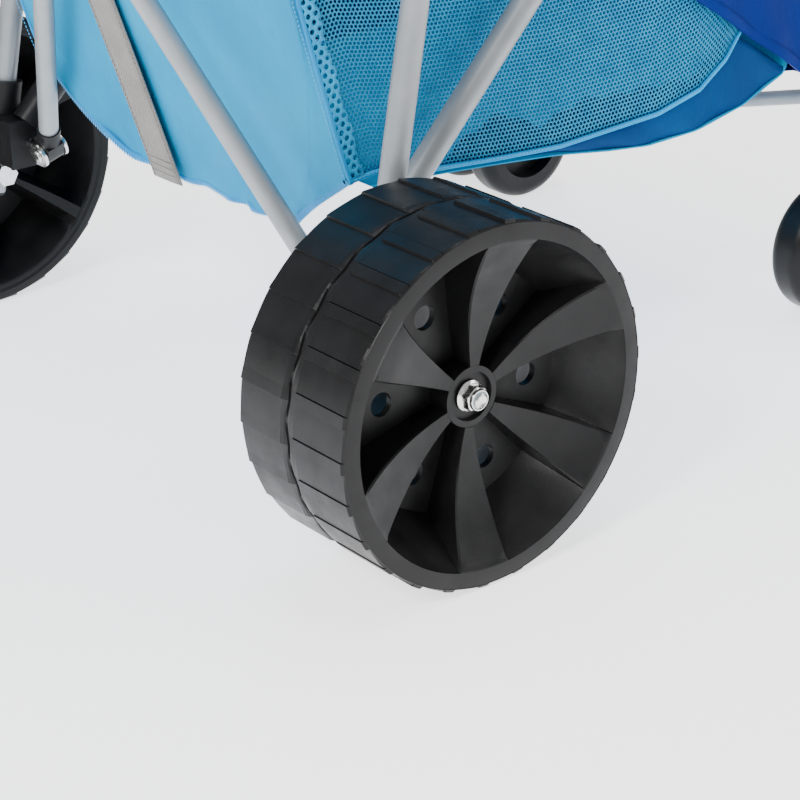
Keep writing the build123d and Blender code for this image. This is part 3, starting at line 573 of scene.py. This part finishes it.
def lock_nut(name, side):
    """Flanged lock nut: a sloped flange, a chamfered hexagon, a rolled collar and a nylon ring."""
    start = WHEEL_OUTER_Y - HUB_DEPTH + 0.0006
    rings = []
    steps = 48
    lead = 0.2  # radians from the first point of a ring to the first flat's middle

    def hexagon(radius, angle):
        turn = (angle + TAU / 12) % (TAU / 6) - TAU / 12
        return radius / math.cos(turn)

    profile = [(0.0, 0.0054, 0), (0.0, 0.0106, 0), (0.0005, 0.0110, 0), (0.0012, 0.0109, 0),
               (0.0026, 0.0092, 0), (0.0028, 0.0080, 1), (0.0034, 0.0080, 1), (0.0078, 0.0080, 1),
               (0.0086, 0.0080, 2), (0.0092, 0.0075, 0), (0.0104, 0.0074, 0), (0.0112, 0.0070, 0),
               (0.0113, 0.0064, 0)]
    for depth, radius, kind in profile:
        ring = []
        for k in range(steps):
            angle = TAU * k / steps + lead
            r = radius
            if kind == 1:
                r = hexagon(radius, angle - lead)
            elif kind == 2:
                r = min(hexagon(radius, angle - lead), 0.0086)
            ring.append((AXLE.x + r * math.cos(angle), side * (start + depth), AXLE.z + r * math.sin(angle)))
        rings.append(ring)
    vertices = [v for ring in rings for v in ring]
    faces = grid_faces(len(rings), steps, wrap_rows=True, wrap_columns=True)
    nut = new_piece(f"lock_nut_{name}", vertices, faces, MATERIALS["zinc_steel"])
    turn_outward(nut)
    sharpen(nut, 32)
    for label, low, high, inner, outer, material in (
            ("nylon_ring", 0.0098, 0.0110, 0.0050, 0.0064, NYLON),
            ("bolt_tip", 0.0030, 0.0131, 0.0, 0.0049, MATERIALS["zinc_steel"])):
        rows = [(low, inner), (low, outer), (high - 0.0006, outer), (high, outer - 0.0008),
                (high - (0.0008 if inner == 0 else 0), max(inner, 0.0026 if inner == 0 else inner))]
        if inner == 0:
            rows.append((high - 0.0010, 0.0))
        points = []
        for depth, radius in rows:
            for k in range(32):
                angle = TAU * k / 32
                r = max(radius, 0.00005)
                points.append((AXLE.x + r * math.cos(angle), side * (start + depth),
                               AXLE.z + r * math.sin(angle)))
        faces = grid_faces(len(rows), 32, wrap_rows=True, wrap_columns=True)
        bit = new_piece(f"{label}_{name}", points, faces, material)
        turn_outward(bit)
        sharpen(bit, 32)
        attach(bit, f"{name}_frame")
    return nut


def make_rear_wheels():
    for name, side in SIDES:
        vertices, faces = tyre(side)
        wheel = new_piece(f"lugged_wheel_{name}", vertices, faces, MATERIALS["wheel_plastic"])
        face = new_piece(f"wheel_face_{name}", [(0, 0, 0)], [], MATERIALS["wheel_plastic"])
        face.data = drilled(f"wheel_face_{name}", *dish(side), side)
        face.data.polygons.foreach_set("use_smooth", [True] * len(face.data.polygons))
        turn_outward(wheel)
        sharpen(wheel, 2.4)
        sharpen(face, 24)
        for piece in (wheel, face):
            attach(piece, f"wheel_{name}")
        nut = lock_nut(name, side)
        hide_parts(f"wheel_nut_{name}")
        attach(nut, f"{name}_frame")
        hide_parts(f"rear_wheel_{name}")


make_rear_wheels()


# ------------------------------------------------------------------ bag
FOLD_KEEP = 0.348
TOTE_KEEP = 0.3505
CLOTH = 0.0011
MESH_CLOTH = 0.0005
WEB_WIDTH = 0.038
WEB_THICK = 0.0018
REAR_SLOPE = 0.32  # the rear panel leans back this much for each unit of height
REAR_UP = (-0.305, 0, 0.952)
REAR_OUT = (-0.952, 0, -0.305)
PANEL_HALF = 198.4  # millimetres from the cart's middle to the edge of the floor and the front
CORNER_Y = 199.2
SEAM_LOW, SEAM_HIGH = 226, 363  # heights of the corner seams' ends, in millimetres
FOLD_LOW = 166
STRIP, MIDDLE = 12, 72  # columns of the rear cloth in a corner strip and between the strips


def from_axle(x, y, z):
    """A point given in millimetres: ahead of the rear axle, to the left, above the ground."""
    return Vector((AXLE.x + x / 1000, y / 1000, z / 1000))


def along(points, t):
    """The point at parameter t, 0 to 1, along a broken line of points spaced by their distance."""
    lengths = [(b - a).length for a, b in zip(points, points[1:])]
    left = t * sum(lengths)
    for a, b, length in zip(points, points[1:], lengths):
        if left <= length or b is points[-1]:
            return a.lerp(b, min(1.0, left / length))
        left -= length
    return points[-1]


def cloth_piece(name, grid, slot, outward, thickness=CLOTH, material=None):
    """A cloth panel with thickness from a grid of points, its UVs in metres along the cloth."""
    rows, columns = len(grid), len(grid[0])
    points = np.array([[tuple(p) for p in row] for row in grid], float)
    along_rows = np.zeros((rows, columns))
    along_columns = np.zeros((rows, columns))
    along_rows[:, 1:] = np.cumsum(np.linalg.norm(np.diff(points, axis=1), axis=2), axis=1)
    along_columns[1:] = np.cumsum(np.linalg.norm(np.diff(points, axis=0), axis=2), axis=0)
    du = np.gradient(points, axis=1)
    dv = np.gradient(points, axis=0)
    normal = np.cross(du, dv)
    normal /= np.maximum(np.linalg.norm(normal, axis=2, keepdims=True), 1e-12)
    if (normal * np.array(outward)).sum() < 0:
        normal = -normal
    u = along_rows - along_rows[:, columns // 2][:, None]
    uv = np.stack([u, along_columns], axis=2).reshape(-1, 2)
    front = (points + normal * thickness / 2).reshape(-1, 3)
    back = (points - normal * thickness / 2).reshape(-1, 3)
    count = rows * columns
    faces = grid_faces(rows, columns)
    faces += [tuple(count + i for i in reversed(face)) for face in faces]
    rim = [(0, j) for j in range(columns)] + [(i, columns - 1) for i in range(1, rows)]
    rim += [(rows - 1, j) for j in range(columns - 2, -1, -1)] + [(i, 0) for i in range(rows - 2, 0, -1)]
    loop = [i * columns + j for i, j in rim]
    for a, b in zip(loop, loop[1:] + loop[:1]):
        faces.append((a, a + count, b + count, b))
    piece = new_piece(name, np.vstack([front, back]), faces, material or MATERIALS[slot], np.vstack([uv, uv]))
    turn_outward(piece)
    return piece


def across(piece, keep=FOLD_KEEP):
    """The piece rides on the right frame, with a mesh of its own."""
    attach(piece, "right_frame")
    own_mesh(piece)
    return piece


def rear_x(z):
    """How far ahead of the axle the rear panel lies at a height, in millimetres."""
    return 20 - REAR_SLOPE * (z - 225)


HEM = [(-107, 166), (-80, 162), (-55, 160), (-20, 162), (0, 162), (42, 162), (80, 161), (107, 166)]
BAG_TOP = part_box("bag_rear_panel")[1].z * 1000


def hem_height(y):
    return float(np.interp(y, *zip(*HEM)))


def soft(x, y, z, scale, seed):
    return noise.noise(Vector((x * scale + seed, y * scale - seed, z * scale + 2.3 * seed)))


def rear_grid():
    """Rear cloth with the two strips that turn its lower corners on to the sides."""
    low_rows, high_rows = 44, 34
    last = 2 * STRIP + MIDDLE
    grid = []
    for row in range(low_rows + high_rows + 1):
        v = min(1.0, row / low_rows)
        rise = max(0.0, (row - low_rows) / high_rows)
        eased = v ** 1.15
        seam_z = SEAM_LOW + (SEAM_HIGH - SEAM_LOW) * v + (BAG_TOP - SEAM_HIGH) * rise
        fold_half = min(107 + 93 * (1 - (1 - v) ** 1.7), 199.0)
        fold_z = FOLD_LOW + (SEAM_HIGH - FOLD_LOW) * eased + (BAG_TOP - SEAM_HIGH) * rise
        seam_x = 24 - 40 * v if v < 1 else rear_x(seam_z) + 9
        line = []
        for j in range(last + 1):
            if j < STRIP or j > STRIP + MIDDLE:
                side = -1 if j < STRIP else 1
                t = j / STRIP if j < STRIP else (last - j) / STRIP
                seam = Vector((seam_x, side * CORNER_Y, seam_z))
                fold = Vector((rear_x(fold_z) + 1.5, side * fold_half, fold_z))
                point = seam.lerp(fold, t)
                bow = 4.0 * math.sin(math.pi * t) * (1 - v)
                point.y += side * bow * 0.4
                point.x -= bow
            else:
                s = -1 + 2 * (j - STRIP) / MIDDLE
                y = s * fold_half
                z = fold_z + (hem_height(y) - FOLD_LOW) * (1 - v)
                point = Vector((rear_x(z) + 1.5, y, z))
                slack = (1 - s * s) * (3.0 + 5.0 * (1 - v) ** 2)
                ripple = 1.8 * soft(y / 1000, 0, z / 1000, 9, 3) + 1.8
                pull = 1.6 * (1 + math.sin(y * 0.11 + z * 0.035)) * (1 - v) ** 2
                point.x += slack * 0.6 + ripple + pull
            fade = math.exp(-v * low_rows / 5.0) if v < 1 else 0.0
            point.x += fade * (1.8 + 1.8 * math.sin(j * 0.41 + 1.9 * math.sin(j * 0.17)))
            point.z += fade * 1.1 * math.sin(j * 0.29 + 1.6 * math.sin(j * 0.11))
            line.append(point)
        for _ in range(3):
            smooth = list(line)
            for j in range(1, len(line) - 1):
                if min(abs(j - STRIP), abs(j - STRIP - MIDDLE)) <= 3:
                    smooth[j] = line[j] * 0.5 + (line[j - 1] + line[j + 1]) * 0.25
            line = smooth
        grid.append([from_axle(p.x, p.y, p.z) for p in line])
    return grid


def outline(*corners):
    """Points of an outline that is given as pairs in millimetres."""
    return [Vector((*corner, 0)) for corner in corners]


def side_outline_low(t):
    """Lower edge of a side panel from the rear seam to the front lobe: ahead of the axle, height."""
    return along(outline((22, 226), (64, 229), (104, 219), (161, 214), (219, 210), (270, 212), (320, 214),
                         (364, 224), (392, 243), (411, 268)), t)


def side_grid(side):
    """Mesh side panel: rows rise from the lower seam to the top edge."""
    rows, columns = 40, 76
    grid = []
    for row in range(rows + 1):
        v = row / rows
        line = []
        for j in range(columns + 1):
            t = j / columns
            low = side_outline_low(t)
            top_x = rear_x(BAG_TOP) + 10 + (440 - rear_x(BAG_TOP) - 10) * t
            point = low.lerp(Vector((top_x, BAG_TOP, 0)), v)
            if t < 0.25:
                z = point.y
                edge = 24 - 40 * (z - SEAM_LOW) / 136 if z < 362 else rear_x(z) + 9
                share = (1 - t / 0.25) ** 2
                point.x = point.x * (1 - share) + edge * share
            sag = 5.0 * math.sin(math.pi * v) * math.sin(math.pi * t)
            wave = 1.6 * soft(point.x / 1000, side, point.y / 1000, 7, 5) * math.sin(math.pi * min(1, 4 * v))
            line.append(from_axle(point.x, side * (198.8 - sag - wave), point.y))
        grid.append(line)
    return grid


def ribbon(name, path, across_way, width, thickness, slot, material=None):
    """A band swept along a path, its width along one direction or one direction for each point."""
    count = len(path)
    ways = across_way if isinstance(across_way, list) else [Vector(across_way)] * count
    front, back, uv = [], [], []
    run = 0.0
    for i, point in enumerate(path):
        tangent = (path[min(i + 1, count - 1)] - path[max(i - 1, 0)]).normalized()
        way = ways[i].normalized()
        normal = tangent.cross(way).normalized()
        if i:
            run += (point - path[i - 1]).length
        for k in range(5):
            s = (k / 4 - 0.5) * width
            crown = thickness * (0.5 if 0 < k < 4 else 0.36)
            front.append(point + way * s + normal * crown)
            back.append(point + way * s - normal * crown)
            uv.append((s, run))
    faces = grid_faces(count, 5)
    total = count * 5
    faces += [tuple(total + i for i in reversed(face)) for face in faces]
    for a in range(0, total - 5, 5):
        b = a + 5
        faces.append((a, b, b + total, a + total))
        faces.append((a + 4, a + 4 + total, b + 4 + total, b + 4))
    for a in (0, total - 5):
        faces += [(a + k, a + k + 1, a + k + 1 + total, a + k + total) for k in range(4)]
    piece = new_piece(name, front + back, faces, material or MATERIALS[slot], uv + uv)
    turn_outward(piece)
    return piece


def binding(name, path, width=0.012, thickness=0.0036):
    """Blue binding tape sewn upright along an edge."""
    return ribbon(name, path, (0, 0, 1), width, thickness, "blue_fabric", BLUE_BINDING)


def stitches(name, path, outward, pitch, length, radius, material, skew=0.0):
    """A row of thread stitches lying along a path, each a short rounded bead."""
    normal = Vector(outward)
    vertices, faces = [], []
    total = sum((b - a).length for a, b in zip(path, path[1:]))
    for k in range(int(total / pitch)):
        t = (k + 0.5) * pitch / total
        centre = along(path, t)
        ahead = along(path, min(1.0, t + 0.002)) - along(path, max(0.0, t - 0.002))
        tangent = ahead.normalized()
        across_way = tangent.cross(normal).normalized()
        way = (tangent + across_way * skew).normalized()
        side_way = way.cross(normal).normalized()
        start = len(vertices)
        for s, fat in ((-0.5, 0.25), (-0.28, 0.9), (0.0, 1.0), (0.28, 0.9), (0.5, 0.25)):
            for turn in range(6):
                angle = TAU * turn / 6
                vertices.append(centre + way * s * length
                                + (side_way * math.cos(angle) + normal * math.sin(angle)) * radius * fat)
        faces += grid_faces(5, 6, wrap_columns=True, start=start)
        faces += [tuple(range(start + 5, start - 1, -1)), tuple(range(start + 24, start + 30))]
    piece = new_piece(name, vertices, faces, material)
    return piece


def thread(name, color):
    p = Paint(name)
    twist = p.noise(2200, 2)
    lit = tuple(min(1, c * 1.35 + 0.01) for c in color)
    return p.set(Base_Color=p.ramp(twist, ((0.3, color), (0.7, lit))), Roughness=0.55,
                 Normal=p.bump(twist, 0.5, 0.0003), Sheen_Weight=0.3)


BLUE_THREAD = thread("blue_thread", (0.01, 0.33, 0.66))
GREY_THREAD = thread("grey_thread", (0.22, 0.21, 0.2))
BINDING_BLUE = ((0.0, 0.24, 0.56), (0.0, 0.3, 0.66), (0.0, 0.36, 0.76))
# Dark blue of the gusset below the mesh: the blue cloth darkened as painted shade, since it hangs in shadow
# under the bag
PAINTED_SHADE_BLUE = ((0.0, 0.028, 0.12), (0.0, 0.045, 0.17), (0.0, 0.065, 0.22))
# Dark blue of the sheet behind the doubled mesh band: painted shade standing in for the shadowed cloth behind
# the mesh
PAINTED_SHADE_LINING_BLUE = ((0.0, 0.018, 0.07), (0.0, 0.028, 0.1), (0.0, 0.04, 0.13))
BLUE_BINDING = oxford("blue_binding", *BINDING_BLUE, pitch=0.0014, sheen=0.03)
PAINTED_SHADE_UNDERSIDE = oxford("blue_underside_painted_shade", *PAINTED_SHADE_BLUE, sheen=0.0)
COARSE_MESH = open_mesh("blue_honeycomb", (0.0, 0.3, 0.62), (0.0, 0.4, 0.75), 0.0064, 0.29)
PAINTED_SHADE_LINING = oxford("blue_lining_painted_shade", *PAINTED_SHADE_LINING_BLUE, sheen=0.0)


def shifted(points, offset):
    return [p + Vector(offset) for p in points]


def sewn_row(name, path, outward, pitch=0.0036, length=0.0026, radius=0.0004):
    """A row of blue stitches."""
    return stitches(name, path, outward, pitch, length, radius, BLUE_THREAD)


def grey_row(name, path, outward, pitch, length, radius):
    """A row of grey stitches."""
    return stitches(name, path, outward, pitch, length, radius, GREY_THREAD)


def make_rear_cloth():
    grid = rear_grid()
    piece = across(cloth_piece("rear_cloth", grid, "blue_fabric", (-1, 0, 0)))
    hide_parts("bag_rear_panel")
    low = grid[0]
    out = Vector(REAR_OUT)
    hem = across(ribbon("rear_hem", shifted(shifted(low, (0, 0, 0.003)), out * 0.0005), REAR_UP, 0.0065,
                        0.0030, "blue_fabric", BLUE_BINDING))
    lock = across(stitches("rear_overlock", shifted(shifted(low, (-0.0006, 0, 0.0022)), out * 0.0019), out,
                           0.0026, 0.0062, 0.00042, BLUE_THREAD, skew=3.0))
    for label, side in SIDES:
        path = [row[0 if side < 0 else -1] + Vector((0, side * 0.0012, 0)) for row in grid]
        across(ribbon(f"corner_seam_{label}", path, (1, 0, 0.28), 0.003, 0.0022, "blue_fabric",
                                   BLUE_BINDING))
        across(sewn_row(f"corner_stitch_{label}", shifted(path, (-0.0045, side * 0.0004, 0)),
                                     (0, side, 0), 0.0034, 0.0024))


def doubled_grid(side):
    """Second layer of mesh along the lower edge of a side panel, up to a wavy line, drawn as a dark opaque
    sheet behind the mesh: painted shade.
    """
    ahead = [104, 132, 165, 204, 258, 310, 364, 399]
    heights = [222, 238, 246, 231, 242, 236, 236, 275]
    grid = []
    for k in range(7):
        v = k / 6
        line = []
        for j in range(77):
            foot = side_outline_low(j / 76)
            lift = float(np.interp(foot.x, ahead, heights))
            lift += 2.2 * math.sin(foot.x * 0.21) + 1.5 * math.sin(foot.x * 0.083 + 1)
            z = foot.y + max(3.0, lift - foot.y) * v
            line.append(from_axle(foot.x, side * (197.2 - 1.6 * math.sin(math.pi * v)), z))
        grid.append(line)
    return grid


def honeycomb_grid(side):
    """Narrow band of coarse mesh beside the corner seam."""
    grid = []
    for k in range(30):
        z = SEAM_LOW + 190 * k / 29
        x = float(np.interp(z, (SEAM_LOW, 362, 416), (24, -16, -33)))
        line = []
        for j in range(5):
            s = j / 4
            line.append(from_axle(x + 1.5 + 11 * s + 1.2 * math.sin(z * 0.15) * s, side * 200.9, z + 4 * s))
        grid.append(line)
    return grid


def lobe_grid(side):
    """Blue gusset that closes the bag's side below the mesh, to the front lobe."""
    lower = outline((100, 220), (161, 213), (219, 206), (270, 197), (312, 192), (365, 193), (415, 203),
                    (462, 220))
    upper = outline((100, 222), (161, 217), (219, 213), (270, 214), (320, 218), (364, 228), (403, 262),
                    (462, 223))
    grid = []
    for k in range(9):
        v = k / 8
        line = []
        for j in range(61):
            t = j / 60
            p = along(lower, t).lerp(along(upper, t), v)
            bulge = 5.0 * math.sin(math.pi * v) * math.sin(math.pi * t) + 1.4 * math.sin(p.x * 0.11 + 5 * v)
            line.append(from_axle(p.x, side * (196.5 + bulge * 0.6), p.y))
        grid.append(line)
    return grid


def make_side_panels():
    for label, side in SIDES:
        out = (0, side, 0)
        grid, doubled, gusset = side_grid(side), doubled_grid(side), lobe_grid(side)
        panel = cloth_piece(f"side_mesh_{label}", grid, "blue_mesh", out, MESH_CLOTH)
        bound = shifted(grid[0], (0, side * 0.0012, 0.001))
        edge = binding(f"side_binding_{label}", bound, 0.0034, 0.0026)
        row = sewn_row(f"side_stitch_{label}", shifted(bound, (0, side * 0.0012, 0.0004)), out)
        # The doubled band is an opaque dark sheet behind the mesh: painted shade
        band = cloth_piece(f"doubled_band_{label}", doubled, "blue_mesh", out, MESH_CLOTH, PAINTED_SHADE_LINING)
        honeycomb = cloth_piece(f"honeycomb_band_{label}", honeycomb_grid(side), "blue_mesh", out, MESH_CLOTH,
                                COARSE_MESH)
        # The gusset's darker blue is painted shade on the blue cloth
        lobe = cloth_piece(f"front_lobe_{label}", gusset, "blue_fabric", out, material=PAINTED_SHADE_UNDERSIDE)
        rim = binding(f"side_top_binding_{label}", shifted(grid[-1], (0, side * 0.0002, -0.002)))
        for piece in (panel, edge, row, band, honeycomb, lobe, rim):
            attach(piece, f"{label}_frame")
        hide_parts(f"bag_mesh_{label}")


def floor_profile(t):
    """Middle line of the floor from the rear cloth to the front panel: ahead of the axle, height."""
    return along(outline((46, 219), (104, 215), (161, 210), (219, 204), (270, 196), (312, 191), (365, 192),
                         (415, 202), (462, 220), (467, 262)), t)


def make_floor_and_front():
    grid = []
    for i in range(61):
        p = floor_profile(i / 60)
        line = []
        for j in range(53):
            s = -1 + 2 * j / 52
            sag = 7 * (1 - s * s) * math.sin(math.pi * min(1, i / 50))
            lump = 2.0 * soft(p.x / 1000, s * 0.2, 0, 12, 8)
            line.append(from_axle(p.x, s * PANEL_HALF, p.y - sag * 0.6 + lump * (1 - s * s)))
        grid.append(line)
    floor = across(cloth_piece("floor_cloth", grid, "blue_fabric", (0, 0, -1)))
    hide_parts("bag_floor")
    grid = []
    for i in range(41):
        z = 256 + (BAG_TOP - 256) * i / 40
        line = []
        for j in range(45):
            s = -1 + 2 * j / 44
            bow = 4 * (1 - s * s) + 2.0 * soft(0, s * 0.2, z / 1000, 10, 4)
            x = 465 - 25 * max(0.0, (z - 300) / (BAG_TOP - 300))
            line.append(from_axle(x - bow, s * PANEL_HALF, z))
        grid.append(line)
    front = across(cloth_piece("front_cloth", grid, "blue_fabric", (1, 0, 0)))
    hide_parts("bag_front_panel")
    rim = across(binding("front_top_binding", shifted(grid[-1], (0, 0, -0.002))))
    rear_rim = across(binding("rear_top_binding", shifted(rear_grid()[-1], (0, 0, -0.002))))


def tote_plan(t):
    """Plan of the tote's wrap, from the end of the right wing round the front to the left one."""
    wing = [(250, 203), (360, 204), (452, 205), (478, 204), (500, 199), (520, 186), (529, 160), (532, 90)]
    return along(outline(*((x, -y) for x, y in wing), (533, 0), *reversed(wing)), t)


def make_tote():
    columns, rows = 128, 46
    corner = 478  # ahead of this the wrap's lower edge is level, behind it the edge climbs
    grid = []
    for i in range(rows + 1):
        v = i / rows
        line = []
        for j in range(columns + 1):
            t = j / columns
            p = tote_plan(t)
            winged = p.x < corner
            low = 216 + (corner - p.x) * 0.664 if winged else 216 - 14 * blend_step(p.x, corner, 525)
            z = low + (598 - low) * v
            fold = 3.0 * math.sin(p.y * 0.05 + z * 0.045) * math.exp(-(z - low) / 90)
            lump = 4.0 * soft(p.x / 1000, p.y / 1000, z / 1000, 9, 6) * (1 if p.x > 470 else 0.35)
            drape = 2.4 * math.sin(p.x * 0.14 + z * 0.06) * math.exp(-(z - low) / 45) if winged else 0
            push = (fold + lump) if p.x > 500 else drape + lump
            way = Vector((1, 0, 0)) if abs(t - 0.5) < 0.2 else Vector((0, -1 if t < 0.5 else 1, 0))
            line.append(from_axle(p.x + way.x * (push * 0.7 - 5), p.y + way.y * min(1.6, push), z))
        grid.append(line)
    tote = across(cloth_piece("tote_cloth", grid, "navy_fabric", (1, 0, 0)), TOTE_KEEP)
    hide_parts("front_tote")
    for name, edge, lift, width, thickness in (("tote_hem", grid[0], 0.004, 0.010, 0.0034),
                                               ("tote_top_hem", grid[-1], -0.006, 0.018, 0.0032)):
        path = shifted(edge, (0, 0, lift))
        across(ribbon(name, path, (0, 0, 1), width, thickness, "navy_fabric"), TOTE_KEEP)
    bottom = []
    for i in range(9):
        u = i / 8
        line = []
        for j in range(41):
            s = -1 + 2 * j / 40
            ripple = 1.5 * math.sin(9 * s + i)
            line.append(from_axle(462 + 64 * u * (1 - 0.12 * s ** 6), s * 186, 221 - 19 * u + ripple))
        bottom.append(line)
    base = across(cloth_piece("tote_base", bottom, "navy_fabric", (0, 0, -1)))


def make_cargo_strap():
    path, ways = [], []
    for i in range(61):
        t = i / 60
        z = 161 + (BAG_TOP - 5 - 161) * t
        path.append(from_axle(rear_x(z) - 1.1 + 0.5 * math.sin(9 * t), 50 + 14 * t, z))
        ways.append(Vector((0.0, 1.0, -0.02 - 0.1 * t)).normalized())
    strap = across(ribbon("cargo_webbing", path, ways, WEB_WIDTH, WEB_THICK, "grey_webbing"))
    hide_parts("cargo_strap")
    for k, s in enumerate((-0.0165, 0.0165)):
        edge = [p + w * s + Vector((-0.0012, 0, -0.0004)) for p, w in zip(path, ways)]
        across(grey_row(f"cargo_stitch_{k}", edge, REAR_OUT, 0.0042, 0.003, 0.00045))
    for k in range(3):
        rise = 0.006 + 0.006 * k
        line = [path[0] + Vector((-REAR_SLOPE * rise - 0.0012, s, rise)) for s in (-0.016, 0.016)]
        across(grey_row(f"cargo_tack_{k}", line, REAR_OUT, 0.0024, 0.0032, 0.0005))


def hang_loop(name, label, side, x, rail_y, rail_z):
    """One webbing loop: sewn to the bag's side, up and round the rail."""
    bag_top = BAG_TOP / 1000
    bag_y = side * (HALF_BAG + 0.0026)
    wrap = 0.0112
    points = []
    for i in range(10):
        points.append(Vector((x, bag_y, bag_top - 0.030 + i * (rail_z - 0.014 - bag_top + 0.030) / 9)))
    for i in range(25):
        angle = math.pi + (i / 24) * TAU * 0.86 - 0.25
        points.append(Vector((x, rail_y + side * wrap * math.cos(angle), rail_z - wrap * math.sin(angle))))
    loop = ribbon(f"hang_loop_{name}", points, (1, 0, 0), WEB_WIDTH, WEB_THICK, "grey_webbing")
    sewn = []
    for n, drop in enumerate((0.026, 0.008)):
        line = [Vector((x + s, bag_y + side * 0.0011, bag_top - drop)) for s in (-0.016, 0.016)]
        sewn.append(grey_row(f"hang_stitch_{name}_{n}", line, (0, side, 0), 0.0034, 0.0026, 0.0004))
    for piece in [loop] + sewn:
        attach(piece, f"{label}_frame")
    return loop


def make_hang_straps():
    reach = 0.0117  # from the CAD strap's outside to the rail's axis
    for label, side in SIDES:
        low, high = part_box(f"hang_straps_{label}")
        rail_z = high.z - reach
        rail_y = side * (abs(high.y + low.y) / 2 + (high.y - low.y) / 2 - reach)
        spans = []
        for x in sorted({round(v.co.x, 3) for v in frame["nodes"][f"hang_straps_{label}"].data.vertices}):
            if not spans or x - spans[-1][0] > 0.06:
                spans.append([x, x])
            spans[-1][1] = x
        loops = [hang_loop(f"{label}_{k}", label, side, sum(span) / 2, rail_y, rail_z)
                 for k, span in enumerate(spans)]
        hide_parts(f"hang_straps_{label}")


make_rear_cloth()
make_side_panels()
make_floor_and_front()
make_tote()
make_cargo_strap()
make_hang_straps()
